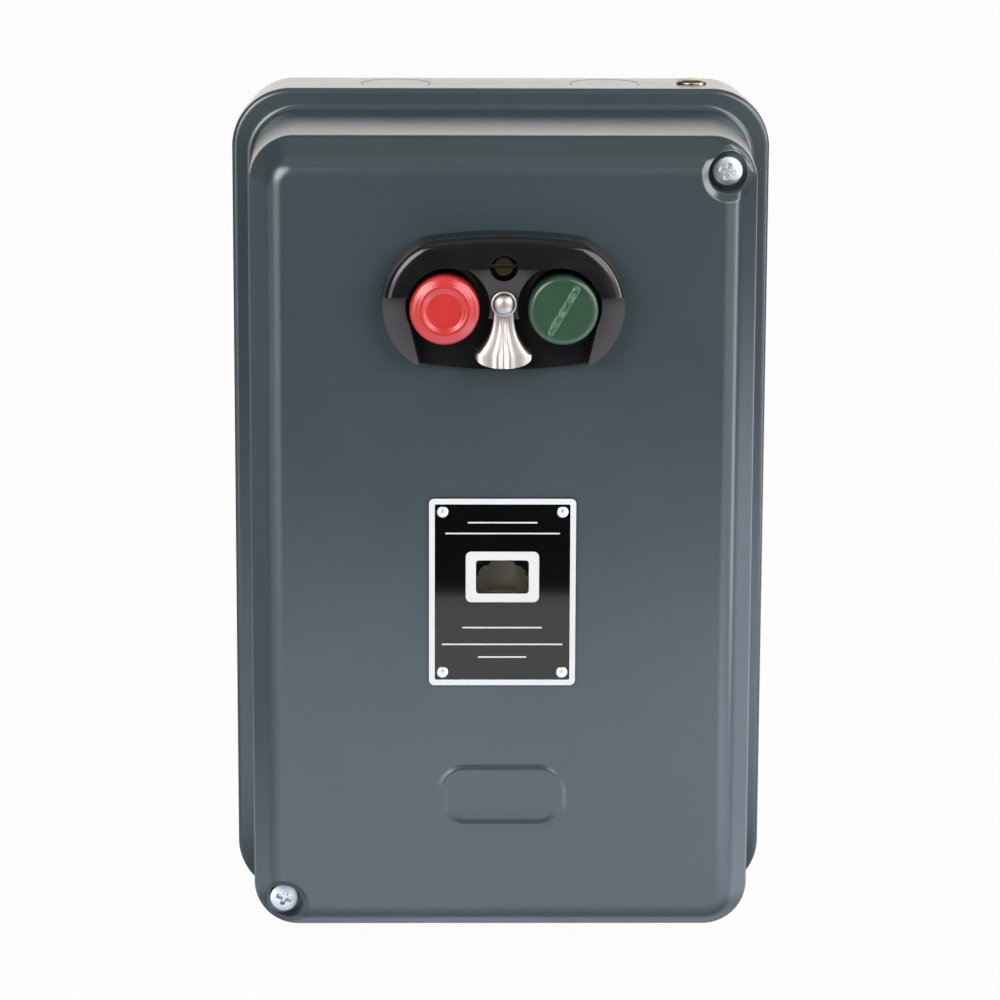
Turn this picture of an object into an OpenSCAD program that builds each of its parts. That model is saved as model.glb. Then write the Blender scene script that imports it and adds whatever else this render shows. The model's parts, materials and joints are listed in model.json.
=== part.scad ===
// Magnetic motor starter (direct-on-line) in a pressed-steel enclosure.
// Every piece is drawn lying on its back: x to the right, y up the wall, z out from the wall.
// to_wall() then stands it up, so the part has +Z up and its front faces -Y.
// The origin is the middle of the wall-hole pattern, on the wall plane.

/* [Enclosure] */
// Width over the cover rim
rim_w = 160; // [158:1:180]
// Height over the cover rim
rim_h = 250; // [248:1:280]
// Corner radius of the cover rim
rim_r = 17.5; // [15:0.5:20]
// Height of the rim's front plane above the wall
rim_z = 43; // [42:0.5:48]
// Depth of the cover skirt that laps over the box
skirt = 10; // [8:0.5:12]
// Bend radius between rim and skirt
rim_bend = 1.6; // [1.6:0.1:3]
// Sheet thickness of the cover
cover_t = 1.2; // [1:0.1:1.4]
// Sheet thickness of the box
box_t = 1.6; // [1.2:0.1:2]
// Gap between the box wall and the cover skirt
lap_gap = 0.3; // [0.3:0.1:0.6]
// Bend radius along the back edge of the box
box_bend = 2.2; // [2:0.2:6]
// Width of the lip turned in round the mouth of the box
lip = 9; // [7:0.5:9]
// Thickness of the cover gasket
gasket_t = 1.8; // [1.2:0.1:2]
// Width of the cover gasket
gasket_w = 6; // [4:0.5:7]
// Height of the pads pressed out of the back
pad_h = 2.5; // [2:0.5:3]
// Radius of the wall pads
pad_r = 10; // [9:0.5:11]
// Radius of the wall holes
wall_hole_r = 3.25; // [2.75:0.25:3.75]
// Wall-hole spacing across
wall_pitch_x = 100; // [90:1:106]
// Wall-hole spacing up the wall
wall_pitch_y = 192; // [190:1:198]
// Radius of the conduit knockouts
knockout_r = 10.5; // [9:0.25:11]
// Distance of each knockout from the middle
knockout_x = 31.5; // [28:0.5:34]
// Height of the knockouts above the wall
knockout_z = 18; // [17:0.5:19]
// Width of the slit round a knockout blank
knockout_slit = 0.3; // [0.2:0.05:0.4]
// Distance of the earth screws from the middle
earth_x = 57.4; // [54:0.2:60]
// Height of the earth screws above the wall
earth_z = 26; // [20:0.5:26]

/* [Cover] */
// Height of the front face over the rim plane
cover_d = 63; // [61:0.5:70]
// Set-in of the cover body from the rim at its front edge
edge_margin = 7; // [6.5:0.1:9]
// Corner radius of the cover body
body_r = 13; // [12:0.5:16]
// Width of the sloping border round the front face
bevel_w = 6.6; // [5:0.1:7]
// Depth of the sloping border
bevel_d = 13; // [10:0.5:15]
// Radius between wall and sloping border
edge_ro = 6; // [4:0.5:8]
// Radius between sloping border and front face
edge_ri = 6; // [4:0.5:6]
// Draft of the cover walls, degrees
draft = 0.8; // [0.4:0.1:1]
// Radius where the walls meet the rim
root_r = 2; // [1.5:0.1:2.5]
// Cover screw distance from the middle, across
screw_x = 64; // [63:0.2:64.4]
// Cover screw distance from the middle, up the wall
screw_y = 108.4; // [107.4:0.2:108.8]
// Radius of the round screw seats at their floor
seat_r = 5.4; // [5.2:0.1:5.6]
// How much the screw seats widen up to the front face
seat_flare = 2.2; // [1.6:0.1:2.4]
// Depth of the screw seats below the front face
seat_d = 11; // [9:0.5:11.5]
// Length of the plain badge pad
badge_w = 36; // [30:1:44]
// Height of the plain badge pad
badge_h = 18; // [14:0.2:20]
// Middle of the badge pad up the wall
badge_y = -75; // [-80:0.2:-66]
// Height of the badge pad over the face
badge_t = 0.5; // [0.4:0.1:0.8]
// Corner radius of the badge pad
badge_r = 7; // [4:0.5:7]

/* [Nameplate] */
// Nameplate width
plate_w = 42.6; // [40:0.2:46]
// Nameplate height
plate_h = 55.7; // [52:0.1:60]
// Middle of the nameplate up the wall
plate_y = -13.1; // [-15:0.1:-12]
// Nameplate thickness
plate_t = 0.8; // [0.6:0.1:1]
// Window width
window_w = 15.2; // [12:0.2:17]
// Window height
window_h = 9.8; // [8:0.2:11]
// Middle of the window up the wall
window_y = -8.5; // [-10:0.1:-8]
// Radius of the rivet heads
rivet_r = 1.7; // [1.4:0.1:2]
// Rivet distance from the plate's middle, across
rivet_x = 17.3; // [16:0.1:18]
// Rivet distance from the plate's middle, up
rivet_y = 23.85; // [22:0.05:24.5]

/* [Button station] */
// Half length of the housing between its end centres
station_x = 14.1; // [13.6:0.1:15]
// End radius of the housing
station_r = 20.8; // [20.6:0.1:22]
// Radius of the housing's long edges
arch_r = 150; // [120:5:200]
// Reach of the housing above its middle
station_up = 20.6; // [20:0.1:20.6]
// Reach of the housing below its middle
station_down = 19.5; // [19:0.1:20]
// Middle of the housing up the wall
station_y = 72.1; // [71.8:0.1:72.6]
// Height of the housing's flat face over the cover
station_d = 7; // [6.5:0.1:7.5]
// Further height of the brow over the flat face
brow_d = 5; // [4:0.1:6]
// Rounding of the brow's outer edge
brow_r = 2.5; // [1.5:0.1:3]
// Button distance from the middle
button_x = 16.8; // [16.6:0.1:17]
// Buttons up the wall
button_y = 71.7; // [71:0.1:72]
// Button radius
button_r = 9.9; // [9.6:0.1:10.2]
// Button travel
button_travel = 4.5; // [3.5:0.1:4.5]
// Lever pivot up the wall
lever_y = 73; // [72.8:0.1:74]
// Lever length, pivot to foot
lever_l = 18.4; // [17:0.1:19]
// Lever half width at the foot
lever_foot = 8.2; // [7.5:0.1:8.9]
// Lever half width at the neck
lever_neck = 2.9; // [2.8:0.1:3.4]
// Radius of the deep hole for the housing screw
screw_well_r = 4.1; // [3.8:0.1:4.4]
// Housing screw up the wall
screw_well_y = 83.2; // [83:0.1:84]

/* [Contactor] */
// Middle of the contactor up the wall
con_y = 50; // [49:0.5:51]
// Contactor half width
con_hw = 42; // [42:0.5:44]
// Contactor half height
con_hh = 40; // [40:0.5:41]
// Pole spacing
pole_x = 24; // [23.5:0.1:24]
// Travel of the armature and contacts
stroke = 5; // [4:0.1:5]
// Stack height of the magnet cores
core_h = 20; // [18:0.5:20]

/* [Overload relay] */
// Relay half width
relay_hw = 36; // [36:0.5:38]
// Top of the relay up the wall
relay_top = -6; // [-7:0.5:-5]
// Bottom of the relay case up the wall
relay_bot = -66; // [-67:0.5:-65]
// Dial radius
dial_r = 8.5; // [7:0.1:9]
// Dial up the wall
dial_y = -14; // [-15:0.1:-13]
// Travel of the trip bar
trip_travel = 2.5; // [2:0.1:2.5]

/* [Hidden] */
$fn = 48;
eps = 0.01;
steps = 5;
// Levels above the wall
back_z = pad_h;
floor_z = back_z + box_t;
lip_z = rim_z - cover_t - gasket_t;
face_z = rim_z + cover_d;
inner_z = face_z - cover_t;
plate_z = 8;
chassis_t = 1.6;
chassis_z = plate_z + chassis_t;
// Box
box_w = rim_w - 2 * (cover_t + lap_gap);
box_h = rim_h - 2 * (cover_t + lap_gap);
box_r = rim_r - cover_t - lap_gap;
// Cover body: corner axes and the centres of its three arcs
body_ax = rim_w / 2 - edge_margin - body_r;
body_ay = rim_h / 2 - edge_margin - body_r;
bevel_a = atan(bevel_w / bevel_d);
edge_v = [body_r, cover_d - bevel_d];
wall_k = edge_v[0] * cos(draft) + edge_v[1] * sin(draft);
arc_root = [(wall_k + root_r - sin(draft) * root_r) / cos(draft), root_r];
edge_bis = (draft + bevel_a) / 2;
edge_reach = edge_ro / cos((bevel_a - draft) / 2);
arc_edge = edge_v - edge_reach * [cos(edge_bis), sin(edge_bis)];
arc_face = [body_r - bevel_w - edge_ri * tan((90 - bevel_a) / 2), cover_d - edge_ri];
// Screws: M4 and M5 pan heads, and small terminal screws
m4_r = 1.95;
m4_head_r = 4;
m4_head_h = 2.6;
m5_r = 2.4;
m5_head_r = 4.3;
m5_head_h = 3;
m3_r = 1.45;
m3_head_r = 2.9;
m3_head_h = 2;
clear = 0.25;
over = 1;
slot_w = 1;
slot_d = 1.1;
earth_screw_l = 13;
washer_r = 5.2;
washer_t = 0.8;
earth_head_r = 4.6;
earth_head_h = 1.6;
nut_r = 4.6;
nut_h = 4;
knockout_tab = 3;
// Chassis
chassis_w = 122;
chassis_h = 176;
chassis_x = 52;
chassis_y = 80;
chassis_r = 6;
chassis_screw_l = 5;
unit_screw_l = 7;
boss_r = 5;
gasket_in = 2;
pillar_r = 4.4;
seat_z = face_z - seat_d;
pillar_z = seat_z - cover_t - clear;
cover_screw_l = 16;
pillar_step = 1;
window_r = 1;
plate_r = 1.5;
pane_t = 1.5;
pane_lap = 3.5;
shank_k = 0.6;
rivet_tail = 0.8;
// Button station
well_x = 15.9;
well_gap = 1.2;
well_r = button_x + button_r + well_gap - well_x;
recess_x = 23;
station_draft = 0.6;
side_r = 1.2;
brow_end = 3;
stop_gap = 0.3;
web_z = face_z + station_d;
brow_z = web_z + brow_d;
guide_r = 6.5;
guide_l = 8;
stem_r = 3.95;
stem_fit = 0.06;
stem_z = 92.4;
cap_z = web_z - 0.2;
well_z = cap_z - button_travel - stop_gap;
cap_top = web_z + 6.4;
cap_hollow_r = 7.6;
cap_roof = 2.4;
clip_t = 1;
clip_z = face_z - guide_l - 1.3;
clip_r = 6;
groove_r = 3.2;
spring_wire = 0.45;
bead_k = 1.12;
button_turns = 4;
button_spring_r = 6.1;
lever_z = web_z + 0.5;
lever_axis = 6;
lever_t = 1;
lever_hub_r = 3.7;
lever_bottom_r = 11;
lever_flare = 0.8;
hub_h = 1;
web_hw = 15;
pivot_r = 1.5;
pivot_head = 1.2;
screw_floor = 3;
cap_edge = 1.2;
cap_chamfer = 1;
ring_out = 1.7;
ring_in = 4.5;
ring_slope = 0.8;
ring_h = 0.8;
bar_w = 2.2;
bar_short = 3.4;
bar_h = 0.6;
bar_turn = -30;
clip_gap = 1.6;
housing_screw_l = 7;
clamp_w = 52;
clamp_h = 11;
clamp_t = 1.5;
clamp_r = 2;
clamp_up = 1;
// Contactor levels
base_top = 38;
deck_z = 46;
deck_open_x = 35;
deck_open_y = 12.5;
hood_z = 49.5;
hood_top = 70;
hood_hy = 23.5;
hood_in_x = 36.5;
core_z = 12;
core_x = 28;
core_leg = 9;
core_mid = 7.5;
core_back = 8;
core_gap = 0.5;
mid_gap = 0.2;
shade_y = 3;
shade_t = 1.2;
shade_d = 2.5;
shade_side = 0.45;
pole_z = 35;
arm_z = pole_z + stroke + 0.3;
arm_top = 53;
coil_x = 18.3;
coil_y = 21;
coil_z0 = core_z + core_back + 0.3;
coil_z1 = pole_z - 1.2;
flange_t = 1.5;
bobbin_t = 1.4;
bobbin_fit = 0.2;
winding_in = 0.8;
winding_r = 4;
coil_term_z = 27;
coil_term_l = 9;
coil_term_hw = 4;
coil_term_in = 6;
coil_term_screw = 4;
control_screw_l = 5;
strip_t = 1.5;
strip_hw = 5;
tip_r = 2.6;
tip_h = 1.2;
tip_y = 19;
strip_in = 16;
strip_z = deck_z + strip_t;
bridge_z = strip_z + 2 * tip_h + stroke + 0.3;
bridge_hw = 4.5;
carrier_x = 35;
carrier_y = 7;
carrier_top = 66;
window_top = 63;
tongue_x = 6;
tongue_y = 3.5;
tongue_top = 74;
pocket_x = 31;
pocket_y = 27;
pocket_z = 15;
unit_x = 36;
unit_y = 33.5;
term_y = 33;
barrier_t = 2.4;
barrier_z = 60;
barrier_gap = 1.5;
blind = 1;
hood_wall = 1.6;
hood_roof = 2;
hood_screw_l = 30;
main_screw_l = 6;
hood_screw_x = 39.2;
return_x = 32;
return_r = 2.3;
return_turns = 6;
contact_spring_r = 3;
contact_turns = 4;
fine_wire = 0.4;
run_gap = 0.6;
bridge_gap = 0.8;
// Control block
block_x = 29;
block_y0 = 60;
block_y1 = 84;
block_top = stem_z - button_travel - 0.4;
block_in_x = 9;
block_in_y = 9.5;
block_wall = 2;
plunger_r = 3.5;
plunger_fit = 0.06;
plunger_top = stem_z - 0.4;
plunger_z = hood_top + button_travel + over;
bridge_c_z = 79;
bridge_c_l = 8;
control_strip_w = 3;
control_t = 1;
control_tip = 5.2;
control_ext = 7;
control_hole = 3.5;
control_tail = 0.8;
bridge_c_hw = 2.2;
block_seat = 3;
block_screw_l = 9;
stop_z = bridge_c_z + control_t + stop_gap;
start_z = bridge_c_z - button_travel - control_t - stop_gap;
block_foot_x = 25;
block_foot_y = 64;
// Relay
relay_case_z = 58;
ledge_y = -80;
ledge_z = 46;
front_x = 32;
front_top = 86;
turret_r = 11;
turret_z = 93;
dial_t = 4;
shaft_r = 2.5;
shaft_fit = 0.06;
chamber_x = 8;
chamber_y0 = -58;
chamber_y1 = -14;
chamber_z0 = 14;
heater_y0 = -56;
heater_y1 = -22;
heater_turns = 6;
heater_z = 30;
heater_t = 0.8;
heater_hh = 4;
sleeve_t = 3;
sleeve_hh = 5;
sleeve_k = 0.7;
relay_term_y = -73;
relay_strip_in = -61;
relay_unit_x = 32.5;
relay_unit_y = -75.5;
relay_pin_x = 24;
relay_pin_y = -52;
relay_pin_hw = 3.5;
relay_pin_hh = 5;
relay_pin_l = 7;
relay_hole_l = 7;
relay_pocket_x = 2;
relay_pocket_hw = 6.4;
relay_pocket_h = 9;
front_foot = 4;
front_head = 2;
bore_l = 4;
shaft_l = 3.5;
dial_gap = 0.3;
notch_r = 0.9;
notch_out = 0.4;
link_hw = 4.5;
link_t = 1.5;
link_in = 5;
trip_y0 = -20;
trip_y1 = -15;
trip_z0 = relay_case_z + 0.4;
trip_z1 = trip_z0 + 5;
trip_x = 26.5;
trip_gap = 0.5;
finger_w = 2;
// Wires
wire_r = 1.2;
wire_bend = 3;
wire_side = 44.6;
wire_top = 106;
wire_z = 40;
wire_drop = 4;

// Points along an arc
function arc(c, r, a0, a1) =
  [for (i = [0:steps]) let (a = a0 + (a1 - a0) * i / steps) c + r * [cos(a), sin(a)]];

// Outer line of the cover body, set in by o
function body_line(o) = concat(
  arc(arc_root, root_r + o, 270, 180 + draft),
  arc(arc_edge, edge_ro - o, draft, bevel_a),
  arc(arc_face, edge_ri - o, bevel_a, 90));

// Stand the part up against the wall
module to_wall() {
  rotate([90, 0, 0]) children();
}

// Place children at both signs of x
module both_x(x) {
  for (s = [-1, 1]) translate([s * x, 0, 0]) children();
}

// Place children at the four corners of a rectangle
module four(x, y) {
  for (sx = [-1, 1], sy = [-1, 1]) translate([sx * x, sy * y, 0]) children();
}

// Rectangle with round corners
module rrect(w, h, r) {
  square([w - 2 * r, h], center = true);
  square([w, h - 2 * r], center = true);
  four(w / 2 - r, h / 2 - r) circle(r);
}

// Block between two corners
module span(x0, x1, y0, y1, z0, z1) {
  translate([x0, y0, z0]) cube([x1 - x0, y1 - y0, z1 - z0]);
}

// Block centred across the middle
module bar(hx, y0, y1, z0, z1) {
  span(-hx, hx, y0, y1, z0, z1);
}

// Upright cylinder between two levels
module post(r, z0, z1) {
  translate([0, 0, z0]) cylinder(r = r, h = z1 - z0);
}

// Sweep a profile round a rounded rectangle; its x runs outward from the corner axes
module ring_sweep(ax, ay) {
  for (i = [0:3]) {
    sx = (i == 0 || i == 3) ? 1 : -1;
    sy = i < 2 ? 1 : -1;
    translate([sx * ax, sy * ay, 0]) rotate([0, 0, 90 * i]) rotate_extrude(angle = 90) children();
  }
  for (i = [0, 1]) {
    rotate([0, 0, 180 * i]) translate([ax, 0, 0]) rotate([90, 0, 0])
      linear_extrude(2 * ay, center = true) children();
    rotate([0, 0, 90 + 180 * i]) translate([ay, 0, 0]) rotate([90, 0, 0])
      linear_extrude(2 * ax, center = true) children();
  }
}

// Pan-head screw: head above z = 0, shank below, one slot
module screw(head_r, head_h, r, l) {
  difference() {
    union() {
      post(head_r, 0, head_h * 0.6);
      translate([0, 0, head_h * 0.6]) cylinder(r1 = head_r, r2 = head_r * 0.7, h = head_h * 0.4);
      post(r, -l, eps);
    }
    translate([-head_r, -slot_w / 2, head_h - slot_d]) cube([2 * head_r, slot_w, slot_d + eps]);
  }
}

// Coil spring between two levels: half turns tilted to and fro, joined by small beads
module coil(r, wire, z0, z1, turns) {
  bead = wire * bead_k;
  rise = (z1 - z0 - 2 * bead) / (2 * turns);
  tilt = asin(rise / 2 / r);
  for (i = [0:2 * turns - 1]) translate([0, 0, z0 + bead + rise * (i + 0.5)])
    rotate([0, i % 2 == 0 ? tilt : -tilt, 0]) rotate([0, 0, 180 * (i % 2)])
      rotate_extrude(angle = 180) translate([r, 0]) circle(wire);
  for (i = [0:2 * turns]) translate([(i % 2 == 0 ? r : -r) * cos(tilt), 0, z0 + bead + rise * i])
    sphere(bead);
}

// Round wire through a list of points, every corner a right angle
module wire(pts) {
  last = len(pts) - 1;
  for (i = [0:last - 1]) {
    d = pts[i + 1] - pts[i];
    u = d / norm(d);
    a = pts[i] + (i > 0 ? wire_bend : 0) * u;
    b = pts[i + 1] - (i < last - 1 ? wire_bend : 0) * u;
    translate(a) rotate([0, acos(u[2]), atan2(u[1], u[0])]) cylinder(r = wire_r, h = norm(b - a));
  }
  for (i = [1:last - 1]) {
    u = (pts[i] - pts[i - 1]) / norm(pts[i] - pts[i - 1]);
    v = (pts[i + 1] - pts[i]) / norm(pts[i + 1] - pts[i]);
    w = cross(u, v);
    c = pts[i] + wire_bend * (v - u);
    multmatrix([for (k = [0:2]) [-v[k], u[k], w[k], c[k]]])
      rotate_extrude(angle = 90) translate([wire_bend, 0]) circle(wire_r);
  }
}

// Solid form of the box, set in by o, up to level top
module box_solid(o, top) {
  ring_sweep(box_w / 2 - box_r, box_h / 2 - box_r)
    polygon(concat([[0, back_z + o]], arc([box_r - box_bend, back_z + box_bend], box_bend - o, 270, 360),
      [[box_r - o, top], [0, top]]));
  translate([0, 0, (back_z + o + top) / 2])
    cube([box_w - 2 * box_r, box_h - 2 * box_r, top - back_z - o], center = true);
}

// Solid form of the cover body, set in by o, down to level low under the rim plane
module body_solid(o, low) {
  translate([0, 0, rim_z]) {
    ring_sweep(body_ax, body_ay)
      polygon(concat([[0, -low], [arc_root[0], -low]], body_line(o), [[0, cover_d - o]]));
    translate([0, 0, (cover_d - o - low) / 2])
      cube([2 * body_ax, 2 * body_ay, cover_d - o + low], center = true);
  }
}

// Children at the two cover screws, top right and bottom left
module at_cover_screws() {
  for (s = [-1, 1]) translate([s * screw_x, s * screw_y, 0]) children();
}

// Children at the four knockouts, z pointing out of the box
module at_knockouts() {
  for (s = [-1, 1]) both_x(knockout_x) translate([0, s * box_h / 2, knockout_z]) rotate([-90 * s, 0, 0])
    children();
}

// Children at the two earth screws, z pointing out of the box
module at_earth() {
  for (s = [-1, 1]) translate([s * earth_x, s * box_h / 2, earth_z]) rotate([-90 * s, 0, 0]) children();
}

// Children at the two contactor and two relay fixing screws
module at_units() {
  translate([0, con_y, 0]) four(unit_x, unit_y) children();
  both_x(relay_unit_x) translate([0, relay_unit_y, 0]) children();
}

// Children at the three poles
module poles() {
  for (i = [-1:1]) translate([i * pole_x, 0, 0]) children();
}

// Side line of the housing at distance big from an axis, up to height h, its top edge rounded by r
function station_line(big, h, r) =
  concat([[0, 0], [big, 0]], arc([big - station_draft - r, h - r], r, 0, 90), [[0, h]]);

// Block of the button housing up to height h over the face, its top edge rounded by r
module station_block(h, r) {
  line = station_line(station_r, h, r);
  translate([0, station_y, face_z]) intersection() {
    union() {
      both_x(station_x) rotate_extrude() polygon(line);
      rotate([90, 0, 90]) linear_extrude(2 * station_x, center = true)
        for (m = [0, 1]) mirror([m, 0]) polygon(line);
    }
    translate([0, station_up - arch_r, 0]) rotate_extrude() polygon(station_line(arch_r, h, r));
    translate([0, arch_r - station_down, 0]) rotate_extrude() polygon(station_line(arch_r, h, r));
  }
}

module enclosure_box() {
  color("slategray") to_wall() difference() {
    union() {
      difference() {
        box_solid(0, lip_z);
        box_solid(box_t, lip_z - box_t);
        translate([0, 0, lip_z - 2 * box_t])
          linear_extrude(3 * box_t) rrect(box_w - 2 * lip, box_h - 2 * lip, box_r - lip);
      }
      four(wall_pitch_x / 2, wall_pitch_y / 2) post(pad_r, 0, floor_z);
      four(chassis_x, chassis_y) post(boss_r, floor_z - eps, plate_z);
    }
    four(wall_pitch_x / 2, wall_pitch_y / 2) {
      post(pad_r - box_t, box_t, floor_z + eps);
      post(wall_hole_r, -eps, floor_z);
    }
    four(chassis_x, chassis_y) post(m4_r + eps, floor_z, plate_z + eps);
    at_cover_screws() post(pillar_r - pillar_step, -eps, floor_z + eps);
    at_knockouts() post(knockout_r, -2 * box_t, box_t);
    at_earth() post(m5_r + clear, -2 * box_t, box_t);
  }
}

module knockout_blanks() {
  color("slategray") to_wall() at_knockouts() {
    post(knockout_r - knockout_slit, -box_t, 0);
    for (a = [0, 180]) rotate([0, 0, a]) intersection() {
      span(knockout_r / 2, knockout_r + over, -knockout_tab / 2, knockout_tab / 2, -box_t, 0);
      post(knockout_r, -box_t, 0);
    }
  }
}

module earth_screws() {
  color("goldenrod") to_wall() at_earth() translate([0, 0, washer_t])
    screw(earth_head_r, earth_head_h, m5_r, earth_screw_l);
}

module earth_washers() {
  color("gold") to_wall() at_earth() difference() {
    post(washer_r, 0, washer_t);
    post(m5_r + eps, -eps, washer_t + eps);
  }
}

module earth_nuts() {
  color("darkgoldenrod") to_wall() at_earth() difference() {
    translate([0, 0, -box_t - nut_h]) cylinder(r = nut_r, h = nut_h, $fn = 6);
    post(m5_r + eps, -box_t - nut_h - over, 0);
  }
}

module cover_pillars() {
  color("silver") to_wall() at_cover_screws() difference() {
    union() {
      translate([0, 0, floor_z]) cylinder(r = pillar_r, h = pillar_z - floor_z, $fn = 6);
      post(pillar_r - pillar_step - eps, back_z, floor_z + eps);
    }
    post(m5_r + eps, pillar_z - cover_screw_l, pillar_z + eps);
  }
}

module cover_gasket() {
  color("dimgray") to_wall() translate([0, 0, lip_z]) linear_extrude(gasket_t) difference() {
    rrect(box_w - 2 * gasket_in, box_h - 2 * gasket_in, box_r - gasket_in);
    rrect(box_w - 2 * (gasket_in + gasket_w), box_h - 2 * (gasket_in + gasket_w), box_r - gasket_w);
  }
}

module chassis_plate() {
  color("lightgray") to_wall() translate([0, 0, plate_z]) linear_extrude(chassis_t) difference() {
    rrect(chassis_w, chassis_h, chassis_r);
    four(chassis_x, chassis_y) circle(m4_r + clear);
    at_units() circle(m4_r + eps);
  }
}

module chassis_screws() {
  color("silver") to_wall() four(chassis_x, chassis_y) translate([0, 0, chassis_z])
    screw(m4_head_r, m4_head_h, m4_r, chassis_screw_l);
}

module unit_screws() {
  color("gainsboro") to_wall() at_units() translate([0, 0, pocket_z])
    screw(m4_head_r, m4_head_h, m4_r, unit_screw_l);
}

// Corner pockets that leave the contactor's fixing screws free
module unit_pockets(z0, z1) {
  hx = (con_hw - pocket_x) / 2;
  hy = (con_hh - pocket_y) / 2;
  four(pocket_x + hx + over, pocket_y + hy + over) span(-hx - over, hx + over, -hy - over, hy + over, z0, z1);
}

module contactor_base() {
  color("saddlebrown") to_wall() translate([0, con_y, 0]) difference() {
    bar(con_hw, -con_hh, con_hh, chassis_z, base_top);
    bar(core_x + core_gap, -coil_y - core_gap, coil_y + core_gap, core_z, base_top + eps);
    unit_pockets(pocket_z, base_top + eps);
    four(unit_x, unit_y) post(m4_r + clear, chassis_z - eps, pocket_z + eps);
    both_x(button_x) translate([0, 0, coil_term_z])
      bar(coil_term_hw, con_hh - coil_term_in, con_hh + eps, 0, control_t);
  }
}

// Three legs of one magnet core, from level z0 to z1
module core_legs(z0, z1, mid) {
  bar(core_mid, -core_h / 2, core_h / 2, z0, mid);
  both_x(core_x - core_leg / 2) bar(core_leg / 2, -core_h / 2, core_h / 2, z0, z1);
}

module magnet_yoke() {
  color("dimgray") to_wall() translate([0, con_y, 0]) difference() {
    union() {
      bar(core_x, -core_h / 2, core_h / 2, core_z, core_z + core_back);
      core_legs(core_z + core_back - eps, pole_z, pole_z - mid_gap);
    }
    both_x(core_x - core_leg / 2) bar(core_leg, shade_y, shade_y + shade_t, pole_z - shade_d, pole_z + eps);
  }
}

module shading_rings() {
  color("peru") to_wall() translate([0, con_y, 0]) both_x(core_x - core_leg / 2) difference() {
    bar(core_leg / 2 + shade_side, shade_y, core_h / 2 + shade_t, pole_z - shade_d, pole_z - core_gap);
    bar(core_leg / 2, shade_y + shade_t, core_h / 2, pole_z - shade_d - over, pole_z);
  }
}

module coil_bobbin() {
  bore_y = core_h / 2 + bobbin_fit;
  color("ivory") to_wall() translate([0, con_y, 0]) difference() {
    union() {
      bar(coil_x, -coil_y, coil_y, coil_z0, coil_z0 + flange_t);
      bar(coil_x, -coil_y, coil_y, coil_z1 - flange_t, coil_z1);
      bar(core_mid + bobbin_t, -core_h / 2 - bobbin_t, core_h / 2 + bobbin_t, coil_z0, coil_z1);
    }
    bar(core_mid + bobbin_fit, -bore_y, bore_y, coil_z0 - eps, coil_z1 + eps);
  }
}

module coil_winding() {
  color("sienna") to_wall() translate([0, con_y, coil_z0 + flange_t])
    linear_extrude(coil_z1 - coil_z0 - 2 * flange_t) difference() {
      rrect(2 * (coil_x - winding_in), 2 * (coil_y - winding_in), winding_r);
      square([2 * (core_mid + bobbin_t), core_h + 2 * bobbin_t], center = true);
    }
}

module coil_terminals() {
  end_y = con_hh + coil_term_l;
  color("goldenrod") to_wall() translate([0, con_y, coil_term_z]) both_x(button_x) {
    difference() {
      bar(coil_term_hw, con_hh - coil_term_in, end_y, 0, control_t);
      translate([0, end_y - coil_term_screw, 0]) post(m3_r, -eps, control_t + eps);
    }
    translate([0, end_y - coil_term_screw, control_t]) screw(m3_head_r, m3_head_h, m3_r, control_screw_l);
  }
}

module contact_deck() {
  barrier_l = con_hh - hood_hy - barrier_gap;
  color("saddlebrown") to_wall() translate([0, con_y, 0]) difference() {
    union() {
      bar(con_hw, -con_hh, con_hh, base_top, deck_z);
      both_x((hood_in_x + con_hw) / 2) bar((con_hw - hood_in_x) / 2, -hood_hy, hood_hy, deck_z - eps, hood_z);
      for (s = [-1, 1]) both_x(pole_x / 2) translate([0, s * (con_hh - barrier_l / 2), 0])
        bar(barrier_t / 2, -barrier_l / 2, barrier_l / 2, deck_z - eps, barrier_z);
    }
    bar(deck_open_x, -deck_open_y, deck_open_y, base_top - eps, deck_z + eps);
    unit_pockets(base_top - eps, deck_z + eps);
    poles() for (s = [-1, 1]) translate([0, s * term_y, 0]) post(m4_r + eps, base_top + blind, deck_z + eps);
    both_x(hood_screw_x) post(m3_r + eps, base_top + blind, hood_z + eps);
  }
}

module fixed_contacts() {
  color("peru") to_wall() translate([0, con_y, 0]) poles() for (a = [0, 180]) rotate([0, 0, a]) {
    difference() {
      bar(strip_hw, strip_in, con_hh, deck_z, strip_z);
      translate([0, term_y, 0]) post(m4_r + eps, deck_z - eps, strip_z + eps);
    }
    translate([0, tip_y, 0]) post(tip_r, strip_z - eps, strip_z + tip_h);
  }
}

module main_terminal_screws() {
  color("silver") to_wall() translate([0, con_y, 0]) poles() {
    translate([0, term_y, strip_z]) screw(m4_head_r, m4_head_h, m4_r, main_screw_l);
    translate([0, -term_y, strip_z + link_t]) screw(m4_head_r, m4_head_h, m4_r, main_screw_l + link_t);
  }
}

module arc_hood() {
  rib_y0 = carrier_y + bridge_gap;
  rib_y1 = hood_hy - hood_wall / 2;
  color("maroon") to_wall() translate([0, con_y, 0]) difference() {
    bar(con_hw, -hood_hy, hood_hy, hood_z, hood_top);
    difference() {
      bar(hood_in_x, -hood_hy + hood_wall, hood_hy - hood_wall, hood_z - eps, hood_top - hood_roof);
      for (a = [0, 180]) rotate([0, 0, a]) both_x(pole_x / 2)
        bar(barrier_t / 2, rib_y0, rib_y1, arm_top + over, hood_top);
    }
    bar(tongue_x + run_gap, -tongue_y - run_gap, tongue_y + run_gap, hood_z, hood_top + eps);
    both_x(hood_screw_x) post(m3_r + clear, hood_z - eps, hood_top + eps);
    both_x(block_foot_x) translate([0, block_foot_y - con_y, 0]) post(m3_r + eps, hood_z, hood_top + eps);
  }
}

module arc_hood_screws() {
  color("silver") to_wall() translate([0, con_y, hood_top]) both_x(hood_screw_x)
    screw(m3_head_r - clear, m3_head_h, m3_r, hood_screw_l);
}

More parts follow.
